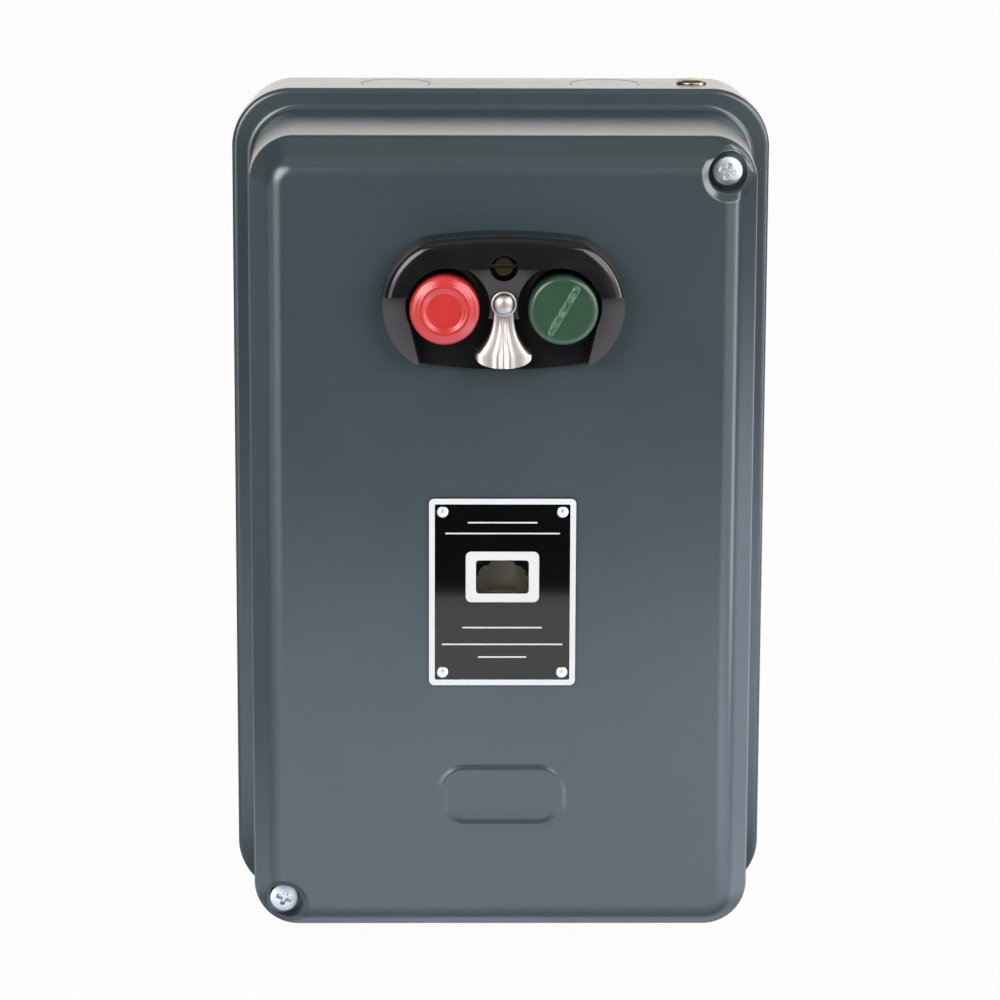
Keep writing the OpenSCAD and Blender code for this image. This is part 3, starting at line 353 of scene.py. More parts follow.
@dataclass(frozen=True)
class Metal:
    """Bare or plated metal: drawn-out tool marks, dull patches and fine pitting."""

    name: str
    bright: Colour
    dull: Colour
    roughness: float
    marks: Sequence[float] = (1.0, 1.0, 0.12)
    depth: float = 0.006
    spangle: float = 0.0
    patch: float = 6.0
    mark: float = 0.35
    mark_share: float = 0.25
    band: Band = (0.35, 0.75)
    patch_rough: Band = (0.7, 0.6)
    mark_rough: float = 0.12
    flake_rough: float = 0.15

    def material(self) -> bpy.types.Material:
        """Builds the material."""
        tree = ShaderTree(self.name)
        patches = tree.noise(self.patch, 4.0)
        marks = tree.noise(self.mark, 2.0, self.marks)
        tone = tree.ramp(tree.blend(patches, marks, self.mark_share), *self.band)
        least, gain = self.patch_rough
        rough = self.roughness * (least + gain * patches) + self.mark_rough * (marks - 0.5)
        if self.spangle:
            flake = tree.cells(self.spangle)
            tone = tree.blend(tone, flake, 0.5)
            rough = rough + self.flake_rough * (flake - 0.5)
        return tree.finish(
            Base_Color=tree.mix(tone, self.bright, self.dull),
            Metallic=1.0,
            Roughness=rough,
            Normal=tree.bump(marks, self.depth),
        )


@dataclass(frozen=True)
class Moulding:
    """Moulded plastic or phenolic: cloudy colour, fine filler specks and a faint skin texture.

    matt_level is a height over the wall, mm, at which flat faces get a rougher finish and a lighter grey; the grey
    is painted reflection of the surroundings laid over that dull finish.
    """

    name: str
    dark: Colour
    light: Colour
    roughness: float
    grain: float = 0.008
    coat: float = 0.0
    matt_level: float | None = None
    # Grey of the flat faces: painted reflection laid over their dull finish.
    matt_and_sheen: Colour = (0.034, 0.031, 0.033)
    matt_reach: float = 0.25
    matt_rough: Band = (0.55, 0.1)
    cloud: float = 9.0
    speck: float = 0.25
    speck_share: float = 0.4
    cloud_rough: float = 0.08
    speck_rough: float = 0.06
    cloud_bump: float = 0.3
    coat_rough: float = 0.05

    def material(self) -> bpy.types.Material:
        """Builds the material."""
        tree = ShaderTree(self.name)
        cloud = tree.noise(self.cloud, 3.0)
        speck = tree.noise(self.speck, 2.0)
        tone = tree.ramp(tree.blend(cloud, speck, self.speck_share), *TONE)
        colour = tree.mix(tone, self.dark, self.light)
        rough = self.roughness + self.cloud_rough * (cloud - 0.5) + self.speck_rough * (speck - 0.5)
        # Flat faces at matt_level: rougher, and lighter grey as painted reflection.
        if self.matt_level is not None:
            flat = abs(tree.axis("Y") + self.matt_level * MM).below(self.matt_reach * MM)
            least, gain = self.matt_rough
            colour = tree.mix(flat, colour, self.matt_and_sheen)
            rough = rough * (1.0 - flat) + flat * (least + gain * speck)
        return tree.finish(
            Base_Color=colour,
            Roughness=rough,
            Normal=tree.bump(tree.blend(speck, cloud, self.cloud_bump), self.grain),
            Coat_Weight=self.coat,
            Coat_Roughness=self.coat_rough,
        )


@dataclass(frozen=True)
class CoreSteel:
    """Edges of thin core sheets stacked along Z, with a blue-grey scale and rust blooms."""

    name: str
    sheet: Colour
    gap: Colour
    rust: Colour
    pitch: float = 0.65
    bloom: float = 4.0
    bloom_band: Band = (0.55, 0.8)
    bloom_share: float = 0.6
    metallic: Band = (0.75, 0.5)
    rough: tuple[float, float, float] = (0.42, 0.25, 0.1)
    grain: float = 0.8
    gap_edge: float = 0.5
    groove: Band = (0.6, 0.08)

    def material(self) -> bpy.types.Material:
        """Builds the material."""
        tree = ShaderTree(self.name)
        wave = tree.waves(tree.axis("Z"), self.pitch)
        bloom = tree.ramp(tree.noise(self.bloom, 4.0), *self.bloom_band)
        colour = tree.mix(tree.ramp(wave, 0.0, self.gap_edge), self.gap, self.sheet)
        least, rusty, uneven = self.rough
        return tree.finish(
            Base_Color=tree.mix(bloom * self.bloom_share, colour, self.rust),
            Metallic=self.metallic[0] - self.metallic[1] * bloom,
            Roughness=least + rusty * bloom + uneven * (tree.noise(self.grain) - 0.5),
            Normal=tree.bump(tree.ramp(wave, 0.0, self.groove[0]), self.groove[1]),
        )


@dataclass(frozen=True)
class VarnishedTape:
    """Cotton tape lapped round a winding and soaked in varnish."""

    name: str
    dark: Colour
    light: Colour
    lap: float = 3.2
    slant: float = 0.25
    weave: float = 0.4
    thread: Sequence[float] = (1.0, 0.4, 1.0)
    pool: float = 5.0
    shares: tuple[float, float, float] = (0.5, 0.3, 0.2)
    band: Band = (0.25, 0.75)
    rough: Band = (0.3, 0.3)
    lap_edge: Band = (0.1, 0.35)
    weave_bump: float = 0.3
    depth: float = 0.12

    def material(self) -> bpy.types.Material:
        """Builds the material."""
        tree = ShaderTree(self.name)
        lap = tree.waves(tree.axis("X") + tree.axis("Z") * self.slant, self.lap)
        weave = tree.noise(self.weave, 1.0, self.thread)
        pool = tree.noise(self.pool, 3.0)
        of_pool, of_weave, of_lap = self.shares
        tone = tree.ramp(pool * of_pool + weave * of_weave + lap * of_lap, *self.band)
        return tree.finish(
            Base_Color=tree.mix(tone, self.dark, self.light),
            Roughness=self.rough[0] + self.rough[1] * pool,
            Normal=tree.bump(tree.blend(tree.ramp(lap, *self.lap_edge), weave, self.weave_bump), self.depth),
        )


@dataclass(frozen=True)
class SoftSkin:
    """Rubber or wire insulation: matt, slightly cloudy, with a fine pebble."""

    name: str
    dark: Colour
    light: Colour
    roughness: float
    pebble: float = 0.03
    cloud: float = 7.0
    grain: float = 0.35
    spread: float = 0.15

    def material(self) -> bpy.types.Material:
        """Builds the material."""
        tree = ShaderTree(self.name)
        cloud = tree.noise(self.cloud, 3.0)
        grain = tree.noise(self.grain, 2.0)
        return tree.finish(
            Base_Color=tree.mix(tree.ramp(cloud, *TONE), self.dark, self.light),
            Roughness=self.roughness + self.spread * (grain - 0.5),
            Normal=tree.bump(grain, self.pebble),
        )


@dataclass(frozen=True)
class ClearSheet:
    """Clear acrylic with faint hairlines."""

    name: str
    tint: Colour
    hair: float = 0.3
    drawn: Sequence[float] = (0.1, 1.0, 1.0)
    hair_band: Band = (0.6, 0.9)
    rough: Band = (0.02, 0.06)
    index: float = 1.49

    def material(self) -> bpy.types.Material:
        """Builds the material."""
        tree = ShaderTree(self.name)
        hair = tree.ramp(tree.noise(self.hair, 1.0, self.drawn), *self.hair_band)
        return tree.finish(
            Base_Color=self.tint,
            Roughness=self.rough[0] + self.rough[1] * hair,
            Transmission_Weight=1.0,
            IOR=self.index,
        )


@dataclass(frozen=True)
class Worn:
    """Moulded colour rubbed pale in broken streaks."""

    name: str
    colour: Colour
    pale: Colour
    roughness: float
    streak: float = 0.5
    drawn: Sequence[float] = (1.0, 1.0, 0.6)
    patch: float = 2.4
    patch_share: float = 0.4
    band: Band = (0.44, 0.62)
    rubbed_rough: float = 0.2
    depth: float = 0.03

    def material(self) -> bpy.types.Material:
        """Builds the material."""
        tree = ShaderTree(self.name)
        streak = tree.noise(self.streak, 3.0, self.drawn)
        rubbed = tree.ramp(tree.blend(streak, tree.noise(self.patch, 2.0), self.patch_share), *self.band)
        return tree.finish(
            Base_Color=tree.mix(rubbed, self.colour, self.pale),
            Roughness=self.roughness + self.rubbed_rough * rubbed,
            Normal=tree.bump(streak, self.depth),
        )


FINISHES: dict[Slot, Any] = {
    Slot.PAINT: Enamel("grey_enamel", (0.036, 0.054, 0.062), (0.041, 0.060, 0.069), 0.26, peel=0.002, specular=0.75),
    Slot.GASKET: SoftSkin("sponge_rubber", (0.018, 0.018, 0.018), (0.04, 0.04, 0.04), 0.85, 0.08),
    Slot.ZINC: Metal("bright_zinc", (0.72, 0.75, 0.75), (0.56, 0.585, 0.585), 0.38),
    Slot.GALVANISED: Metal("galvanised_sheet", (0.62, 0.64, 0.66), (0.42, 0.44, 0.46), 0.38, spangle=5.0),
    Slot.BRASS: Metal("plain_brass", (0.80, 0.58, 0.24), (0.52, 0.35, 0.13), 0.28),
    Slot.COPPER: Metal("plain_copper", (0.83, 0.45, 0.28), (0.50, 0.24, 0.13), 0.30),
    Slot.BROWN: Moulding("brown_phenolic", (0.055, 0.022, 0.011), (0.105, 0.045, 0.024), 0.34),
    Slot.BLACK: Moulding("black_phenolic", (0.008, 0.008, 0.009), (0.016, 0.016, 0.017), 0.24),
    Slot.GREY: Moulding("grey_moulding", (0.09, 0.09, 0.092), (0.13, 0.13, 0.132), 0.48, 0.02),
    Slot.IVORY: Moulding("ivory_moulding", (0.62, 0.55, 0.38), (0.74, 0.68, 0.52), 0.42, 0.012),
    Slot.CORE: CoreSteel("core_sheets", (0.19, 0.195, 0.205), (0.03, 0.03, 0.033), (0.16, 0.07, 0.03)),
    Slot.TAPE: VarnishedTape("varnished_tape", (0.16, 0.06, 0.022), (0.42, 0.21, 0.09)),
    Slot.SPRING: Metal("spring_wire", (0.62, 0.62, 0.64), (0.42, 0.42, 0.44), 0.26),
    Slot.BIMETAL: Metal("tinted_bimetal", (0.58, 0.44, 0.32), (0.30, 0.24, 0.26), 0.36),
    Slot.RED: Moulding("red_moulding", (0.50, 0.026, 0.026), (0.57, 0.036, 0.034), 0.24, 0.002, 0.25),
    Slot.GREEN: Moulding("green_moulding", (0.019, 0.056, 0.030), (0.027, 0.074, 0.041), 0.28, 0.002, 0.15),
    Slot.CHROME: Metal("nickel_plate", (0.44, 0.405, 0.39), (0.34, 0.315, 0.30), 0.40, depth=0.003),
    Slot.PANE: ClearSheet("clear_acrylic", (0.93, 0.95, 0.95)),
    Slot.PLATE: Enamel(
        "gloss_black_plate", (0.002, 0.002, 0.002), (0.004, 0.004, 0.004), 0.05, 0.02, 0.001, sheen=(1.0, 0.90, 0.78)
    ),
    Slot.WIRE: SoftSkin("red_insulation", (0.33, 0.018, 0.014), (0.47, 0.032, 0.024), 0.42, 0.01),
}
WHITE_PRINT = Enamel("white_print", (0.68, 0.695, 0.71), (0.74, 0.755, 0.77), 0.40, 0.06, 0.004)
# Housing screw brass darkened: painted shade of the deep hole the screw sits in.
HOLE_SHADE_BRASS = Metal("hole_shade_brass", (0.36, 0.31, 0.18), (0.10, 0.085, 0.05), 0.22)
DULL_BRASS = Metal("dull_brass", (0.50, 0.44, 0.31), (0.33, 0.28, 0.19), 0.30)
WORN_GREEN = Worn("worn_green", (0.024, 0.070, 0.036), (0.11, 0.21, 0.135), 0.32)
OLIVE = Moulding("olive_moulding", (0.17, 0.14, 0.095), (0.23, 0.19, 0.13), 0.40, 0.01)
# Black housing whose flat faces at matt_level are rougher and carry a lighter grey of painted reflection.
HOUSING_BLACK = Moulding(
    "housing_phenolic", (0.006, 0.006, 0.007), (0.012, 0.012, 0.013), 0.16, 0.003, matt_level=113.0
)


class FinishBook:
    """Builds each finish's material once."""

    def __init__(self) -> None:
        """Starts with no material built."""
        self._made: dict[str, bpy.types.Material] = {}

    def get(self, finish: Any) -> bpy.types.Material:
        """Material of a finish or slot, built when first asked for."""
        if isinstance(finish, Slot):
            finish = FINISHES[finish]
        if finish.name not in self._made:
            self._made[finish.name] = finish.material()
        return self._made[finish.name]


BOOK = FinishBook()
REPLACED: set[str] = set()


def settle(
    piece: bpy.types.Object, body: Body, slot: Slot, finish: Any = None, replaces: Iterable[str] = ()
) -> bpy.types.Object:
    """Gives a piece its finish and its place in the moving frame.

    Args:
        piece: the new object, already in the part's frame.
        body: the moving group it rides on.
        slot: record slot it belongs to.
        finish: finish to use in place of the slot's own.
        replaces: solids that it stands for.

    Returns:
        The same object.
    """
    piece.data.materials.clear()
    piece.data.materials.append(BOOK.get(finish or slot))
    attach(piece, body.value)
    nodes = tuple(replaces)
    if nodes:
        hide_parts(*nodes)
        REPLACED.update(nodes)
    LOG.info("%s on %s: %d faces", piece.name, body.value, len(piece.data.polygons))
    return piece


def mesh_object(name: str, mesh: bpy.types.Mesh) -> bpy.types.Object:
    """Links a mesh into the scene as an object at the origin."""
    piece = bpy.data.objects.new(name, mesh)
    bpy.context.scene.collection.objects.link(piece)
    return piece


def smooth_mesh(mesh: bpy.types.Mesh, sharp: float) -> None:
    """Shades a mesh smooth, with edges over sharp degrees left crisp."""
    mesh.shade_smooth()
    mesh.set_sharp_from_angle(angle=math.radians(sharp))


def soften(piece: bpy.types.Object, width: float, segments: int = 2, angle: float = 32.0) -> None:
    """Adds a Bevel modifier that rounds edges over angle degrees by width mm."""
    bevel = piece.modifiers.new("soft_edges", "BEVEL")
    bevel.width = width * MM
    bevel.segments = segments
    bevel.limit_method = "ANGLE"
    bevel.angle_limit = math.radians(angle)
    bevel.harden_normals = True
    bevel.miter_outer = "MITER_ARC"


class Surface:
    """Gathers grids of points into one mesh."""

    def __init__(self) -> None:
        """Starts empty."""
        self._points: list[np.ndarray] = []
        self._quads: list[np.ndarray] = []
        self._count = 0

    def grid(self, points: np.ndarray, wrap_rows: bool = False, wrap_cols: bool = False) -> "Surface":
        """Adds a sheet of quads over a grid.

        Args:
            points: array of shape (rows, columns, 3), metres.
            wrap_rows: join the last row to the first.
            wrap_cols: join the last column to the first.

        Returns:
            The surface itself.
        """
        rows, cols = points.shape[:2]
        index = np.arange(rows * cols).reshape(rows, cols) + self._count
        if wrap_rows:
            index = np.concatenate([index, index[:1]], axis=0)
        if wrap_cols:
            index = np.concatenate([index, index[:, :1]], axis=1)
        corners = [index[:-1, :-1], index[:-1, 1:], index[1:, 1:], index[1:, :-1]]
        self._quads.append(np.stack(corners, axis=-1).reshape(-1, 4))
        self._points.append(points.reshape(-1, 3))
        self._count += rows * cols
        return self

    def revolve(self, line: np.ndarray, x: float, y: float, segments: int = 64) -> "Surface":
        """Adds a line of (radius, h) points turned about the axis at x, y."""
        angle = around(segments)
        radius, height = line[:, :1], line[:, 1:]
        return self.grid(place(x + radius * np.cos(angle), y + radius * np.sin(angle), height), wrap_cols=True)

    def tube(self, path: np.ndarray, side: np.ndarray, radius: float, segments: int = 10) -> "Surface":
        """Adds a round rod along a path.

        Args:
            path: points (n, 3), mm in the drawing frame.
            side: a unit vector across the path at each point.
            radius: the rod's radius, mm.
            segments: points round the rod.

        Returns:
            The surface itself, with its ends closed to a point.
        """
        along = np.gradient(path, axis=0)
        along /= np.linalg.norm(along, axis=1, keepdims=True)
        across = np.cross(along, side)
        across /= np.linalg.norm(across, axis=1, keepdims=True)
        side = np.cross(across, along)
        angle = around(segments)[None, :, None]
        rings = path[:, None] + radius * (np.cos(angle) * side[:, None] + np.sin(angle) * across[:, None])
        first, last = (np.repeat(path[i, None, None], segments, axis=1) for i in (0, -1))
        rings = np.concatenate([first, rings, last])
        return self.grid(place(rings[..., 0], rings[..., 1], rings[..., 2]), wrap_cols=True)

    def build(self, name: str, sharp: float = 40.0) -> bpy.types.Object:
        """Makes the object: doubles and poles merged, faces turned outwards, smooth shaded.

        Args:
            name: name of the piece.
            sharp: edges over this angle stay crisp, degrees.

        Returns:
            The object, at the origin.
        """
        mesh = bpy.data.meshes.new(name)
        mesh.from_pydata(np.concatenate(self._points).tolist(), [], np.concatenate(self._quads).tolist())
        work = bmesh.new()
        work.from_mesh(mesh)
        bmesh.ops.remove_doubles(work, verts=work.verts, dist=1e-7)
        bmesh.ops.recalc_face_normals(work, faces=work.faces)
        work.to_mesh(mesh)
        work.free()
        smooth_mesh(mesh, sharp)
        return mesh_object(name, mesh)


@dataclass(frozen=True)
class RoundLoop:
    """Sample places round any rounded rectangle, dense near its corners.

    A point is (ax * bx + rho * dx, cy + ay * by + rho * dy): ax, ay are the corner centres, rho the
    distance out from them, (bx, by) a place on the unit square and (dx, dy) the outward direction.
    """

    corner: int = 33
    near: int = 22
    far: int = 13
    reach: float = 0.05
    crowd: float = 1.4

    def samples(self) -> np.ndarray:
        """Rows bx, by, dx, dy, one column for each sample, anticlockwise from the right-hand side."""
        close = self.reach * np.linspace(0.0, 1.0, self.near) ** self.crowd
        half = np.concatenate([close, np.linspace(self.reach, 0.5, self.far)[1:]])
        run = 2.0 * np.concatenate([half, 1.0 - half[-2::-1]]) - 1.0
        parts = []
        for i in range(4):
            angle = np.radians(90.0 * i + np.linspace(0.0, 90.0, self.corner))
            sx, sy = (1.0 if i in (0, 3) else -1.0), (1.0 if i < 2 else -1.0)
            flat = np.ones_like(angle)
            parts.append(np.stack([sx * flat, sy * flat, np.cos(angle), np.sin(angle)]))
            side = run[1:-1]
            flat = np.ones_like(side)
            out = np.round([math.cos(angle[-1]), math.sin(angle[-1])])
            beside, above = out**2
            level = (sx * (beside - side * above), sy * (above - side * beside))
            parts.append(np.stack([level[0] * flat, level[1] * flat, out[0] * flat, out[1] * flat]))
        return np.concatenate(parts, axis=1)

    def rings(self, table: np.ndarray) -> tuple[np.ndarray, np.ndarray, np.ndarray]:
        """Grids of x, y, h for rows of (ax, ay, rho, cy, h)."""
        bx, by, dx, dy = self.samples()
        ax, ay, rho, cy, h = (table[:, i : i + 1] for i in range(5))
        return ax * bx + rho * dx, cy + ay * by + rho * dy, h + 0.0 * bx


def ring_rows(axes: Sequence[float], line: np.ndarray, middle: float = 0.0) -> np.ndarray:
    """Rows for RoundLoop.rings from a line of points about fixed corner centres.

    Args:
        axes: half distances between the corner centres, across and up.
        line: points (rho, h).
        middle: place of the rectangle's middle up the wall.

    Returns:
        Rows (ax, ay, rho, cy, h).
    """
    fixed = np.tile([*axes, middle], (len(line), 1))
    return np.column_stack([fixed[:, :2], line[:, 0], fixed[:, 2], line[:, 1]])


@dataclass
class PressedCover:
    """Deep-drawn steel cover: skirt, rim, drafted walls, sloping border and face with two screw seats."""

    rim: tuple[float, float, float] = (160.0, 250.0, 17.5)
    rim_z: float = 43.0
    skirt: float = 10.0
    bend: float = 1.6
    sheet: float = 1.2
    depth: float = 63.0
    margin: float = 7.0
    body_r: float = 13.0
    bevel: tuple[float, float] = (6.6, 13.0)
    edge_out: float = 6.0
    edge_in: float = 6.0
    draft: float = 0.8
    root_r: float = 2.0
    seat: tuple[float, float] = (64.0, 108.4)
    seat_r: float = 5.45
    seat_lip: float = 8.0
    seat_round: float = 0.8
    seat_cone: float = 2.0
    seat_tilt: float = 42.0
    seat_foot: float = 0.6
    seat_d: float = 11.0
    seat_reach: tuple[float, float] = (10.4, 12.3)
    seat_under: float = 0.4
    seat_lift: float = 0.015
    seat_dip: float = 0.07
    seat_blend: float = 0.9
    seat_room: tuple[float, float] = (0.9, 1.6)
    seat_floor: tuple[float, ...] = (0.0, 1.5, 3.0, 4.2)
    face_split: float = 0.86
    window: tuple[float, float, float] = (15.2, 9.8, 1.0)
    window_y: float = -8.5
    badge: tuple[float, float, float] = (36.0, 18.0, 7.0)
    badge_y: float = -75.0
    badge_t: float = 0.5
    loop: RoundLoop = field(default_factory=RoundLoop)

    @property
    def face_z(self) -> float:
        """Height of the front face over the wall."""
        return self.rim_z + self.depth

    @property
    def body_axes(self) -> tuple[float, float]:
        """Centres of the body's corners."""
        return tuple(side / 2.0 - self.margin - self.body_r for side in self.rim[:2])

    def wall_line(self, inset: float) -> np.ndarray:
        """Line of the body from its face to the rim, inset mm inside the outer skin.

        Three arcs, face to slope, slope to wall and wall to rim, each tangent to the straight pieces
        between them.

        Args:
            inset: distance inside the outer skin.

        Returns:
            Points (rho, h).
        """
        slope = math.degrees(math.atan2(*self.bevel))
        draft = math.radians(self.draft)
        corner = np.array([self.body_r, self.depth - self.bevel[1]])
        wall = corner[0] * math.cos(draft) + corner[1] * math.sin(draft)
        root = np.array([(wall + self.root_r - math.sin(draft) * self.root_r) / math.cos(draft), self.root_r])
        middle = math.radians((self.draft + slope) / 2.0)
        reach = self.edge_out / math.cos(math.radians((slope - self.draft) / 2.0))
        edge = corner - reach * np.array([math.cos(middle), math.sin(middle)])
        tangent = self.edge_in * math.tan(math.radians((90.0 - slope) / 2.0))
        face = np.array([self.body_r - self.bevel[0] - tangent, self.depth - self.edge_in])
        face_arc = arc_points(face, self.edge_in - inset, 90.0, slope, 14)
        edge_arc = arc_points(edge, self.edge_out - inset, slope, self.draft, 10)
        root_arc = arc_points(root, self.root_r + inset, 180.0 + self.draft, 270.0, 8)
        slope_run = between(face_arc[-1], edge_arc[0], 5)
        wall_run = between(edge_arc[-1], root_arc[0], 5)
        line = np.concatenate([face_arc, slope_run, edge_arc, wall_run, root_arc])
        return line + np.array([0.0, self.rim_z])

    def rim_line(self) -> np.ndarray:
        """Line over the rim, down the skirt, round its edge and back up inside, as (rho, h)."""
        radius = self.rim[2]
        low = self.rim_z - self.skirt
        centre = (radius - self.bend, self.rim_z - self.bend)
        over = arc_points(centre, self.bend, 90.0, 0.0, 8)
        edge = arc_points((radius - self.sheet / 2.0, low + self.sheet / 2.0), self.sheet / 2.0, 0.0, -180.0, 7)
        under = arc_points(centre, self.bend - self.sheet, 0.0, 90.0, 8)
        return np.concatenate([over, edge, under])

    def ring_table(self) -> np.ndarray:
        """All rings of the skin from the window outwards and back inside: rows of (ax, ay, rho, cy, h)."""
        width, height, radius = self.window

        def face(first: np.ndarray, steps: int) -> np.ndarray:
            """Rings of the flat face, from the window to the first ring of the border, close by the border."""
            wide, near = np.linspace(0.0, self.face_split, 18), np.linspace(self.face_split, 1.0, steps)
            spread = np.concatenate([wide, near[1:-1]])[:, None]
            hole = np.array([width / 2.0 - radius, height / 2.0 - radius, radius, self.window_y, first[4]])
            return hole * (1.0 - spread) + first * spread

        outer = ring_rows(self.body_axes, self.wall_line(0.0))
        inner = ring_rows(self.body_axes, self.wall_line(self.sheet))
        rim = ring_rows([side / 2.0 - self.rim[2] for side in self.rim[:2]], self.rim_line())
        return np.concatenate([face(outer[0], 62), outer, rim, inner[::-1], face(inner[0], 24)[::-1]])

    def seat_line(self) -> np.ndarray:
        """Section of a screw seat, foot to lip, as (distance from its axis, depth): foot, wall, cone and lip."""
        foot = arc_points((self.seat_r - self.seat_foot, self.seat_d - self.seat_foot), self.seat_foot, 90.0, 4.0, 6)
        turn = 270.0 - self.seat_tilt
        lip = arc_points((self.seat_lip, self.seat_round), self.seat_round, turn, 270.0, 8)
        tilt = math.radians(self.seat_tilt)
        mouth = lip[0] + self.seat_cone * np.array([-math.cos(tilt), math.sin(tilt)])
        centre = mouth + self.seat_foot * np.array([math.sin(tilt), math.cos(tilt)])
        throat = arc_points(centre, self.seat_foot, 186.0, turn, 6)
        return np.concatenate([foot, between(foot[-1], throat[0], 4), throat, between(mouth, lip[0], 4), lip])

    def sink(self, x: np.ndarray, y: np.ndarray, h: np.ndarray, wider: float, lower: float) -> np.ndarray:
        """Presses the two screw seats into a skin.

        Each point falls by the seat's depth at its distance from the axis, but not under the seat's floor.

        Args:
            x: places of the points.
            y: places of the points.
            h: their heights before pressing.
            wider: how much wider than the seat the hollow is.
            lower: how far under the seat's floor its own floor lies.

        Returns:
            The heights after pressing.
        """
        line = self.seat_line()
        floor = self.face_z - self.seat_d - lower
        for sign in (-1.0, 1.0):
            away = np.hypot(x - sign * self.seat[0], y - sign * self.seat[1])
            drop = np.interp(away - wider, line[:, 0], line[:, 1])
            pressed = np.where(drop > 0.0, h - drop * (1.0 + lower / self.seat_d), h)
            h = np.where(h > floor, np.maximum(pressed, floor), h)
        return h

    def seat_patch(self, sign: float) -> np.ndarray:
        """Grid over one screw seat in rings about its axis, which follow its section closely.

        The height before pressing is the wall line's, read at the distance out from the rectangle of the
        corner centres; each ring stops where that line turns down into the wall.

        Args:
            sign: 1 for the seat at the upper right, -1 for the one at the lower left.

        Returns:
            Points (rings, columns, 3) in metres.
        """
        reach, outer = self.seat_reach
        ax, ay = self.body_axes
        wall = self.wall_line(0.0)
        angle = around(160)[None, :]

        def out(radius: np.ndarray) -> tuple[np.ndarray, np.ndarray, np.ndarray]:
            """Places at a distance from the axis, and their distance out from the corner centres."""
            x = sign * (self.seat[0] + radius * np.cos(angle))
            y = sign * (self.seat[1] + radius * np.sin(angle))
            return x, y, np.hypot(np.maximum(np.abs(x) - ax, 0.0), np.maximum(np.abs(y) - ay, 0.0))

        probe = np.linspace(0.0, reach, 400)[:, None]
        limit = probe[(out(probe)[2] <= outer).sum(axis=0) - 1].T
        brim = np.linspace(self.seat_lip, reach, 7)[1:]
        rings = np.concatenate([self.seat_floor, self.seat_line()[:, 0], brim])[:, None]
        radius = np.minimum(rings, limit)
        x, y, rho = out(radius)
        level = np.interp(rho, wall[:, 0], wall[:, 1])
        lift = self.seat_lift - self.seat_dip * smoothstep(self.seat_lip + self.seat_blend, reach, radius)
        h = self.sink(x, y, level, 0.0, 0.0) + lift
        under = h[::-1] - self.seat_under
        return place(np.concatenate([x, x[::-1]]), np.concatenate([y, y[::-1]]), np.concatenate([h, under]))

    def build(self) -> None:
        """Builds the cover's skin, its screw seats and its embossed pad."""
        table = self.ring_table()
        x, y, h = self.loop.rings(table)
        rows = np.arange(len(table))[:, None]
        first_inner = int(np.argmin(table[:, 4]))
        high = h > self.rim_z + self.depth / 2.0
        front, back = self.seat_room
        h = np.where(high & (rows < first_inner), self.sink(x, y, h, front, self.seat_under), h)
        h = np.where(high & (rows >= first_inner), self.sink(x, y, h, back, self.sheet), h)
        skin = Surface().grid(place(x, y, h), wrap_rows=True, wrap_cols=True).build("cover_skin", 50.0)
        settle(skin, Body.COVER, Slot.PAINT, replaces=["cover"])
        seats = Surface()
        for sign in (1.0, -1.0):
            seats.grid(self.seat_patch(sign), wrap_cols=True)
        settle(seats.build("screw_seats", 60.0), Body.COVER, Slot.PAINT)
        settle(self.pad(), Body.COVER, Slot.PAINT)

    def pad(self) -> bpy.types.Object:
        """Plain embossed pad: a raised border that falls to a lower field, rings of one rounded rectangle."""
        width, height, radius = self.badge
        foot = np.array([(1.2, -0.1), (0.9, 0.02), (0.5, 0.12)]) + (radius, self.face_z)
        border = np.array([(0.0, -0.12), (-0.4, -0.02), (-0.8, 0.0), (-1.2, -0.03), (-1.7, -0.17), (-2.1, -0.3)])
        dish = np.array([(-2.5, -0.35), (-radius, -0.35)])
        top = np.concatenate([border, dish]) + (radius, self.face_z + self.badge_t)
        axes = (width / 2.0 - radius, height / 2.0 - radius)
        table = ring_rows(axes, np.concatenate([foot, top]), self.badge_y)
        fill = table[-1:] * (0.0, 0.0, 0.0, 1.0, 1.0)
        base = np.array([(0.0, 0.0, 0.0, self.badge_y, foot[0, 1])])
        rings = RoundLoop(9, 4, 5, 0.1).rings(np.concatenate([base, table, fill]))
        return Surface().grid(place(*rings), wrap_cols=True).build("embossed_pad", 60.0)


@dataclass
class ButtonCap:
    """Push button turned about its axis: cap, hollow underside and grooved stem."""

    name: str
    node: str
    body: Body
    slot: Slot
    x: float
    y: float = BUTTON_Y
    radius: float = 9.9
    cap_z: float = 112.8
    top: float = BUTTON_TOP
    edge_r: float = 1.5
    edge_from: float = 80.0
    lip_r: float = 0.3
    hollow: float = 7.6
    roof: float = 2.4
    stem_r: float = 3.95
    stem_z: float = 92.4
    stem_edge: float = 0.5
    groove: tuple[float, float, float] = (3.2, 96.7, 97.7)
    face: tuple[tuple[float, float], ...] = ()

    def line(self) -> np.ndarray:
        """Outline from the middle of the face round to the foot of the stem, as (radius, h)."""
        edge = arc_points((self.radius - self.edge_r, self.top - self.edge_r), self.edge_r, self.edge_from, 0.0, 8)
        lip = arc_points((self.radius - self.lip_r, self.cap_z + self.lip_r), self.lip_r, 0.0, -90.0, 4)
        roof, stem, foot = self.top - self.roof, self.stem_r, self.stem_z
        depth, low, high = self.groove
        inside = [(self.hollow, self.cap_z), (self.hollow, roof), (stem, roof), (stem, high), (depth, high)]
        inside += [(depth, low), (stem, low), (stem, foot + self.stem_edge)]
        inside += [(stem - self.stem_edge, foot), (0.0, foot)]
        return np.concatenate([np.array(self.face), edge, lip, np.array(inside)])

    def build(self) -> bpy.types.Object:
        """Builds the button and puts it on its body."""
        cap = Surface().revolve(self.line(), self.x, self.y, 96).build(self.name, 42.0)
        return settle(cap, self.body, self.slot, replaces=[self.node])


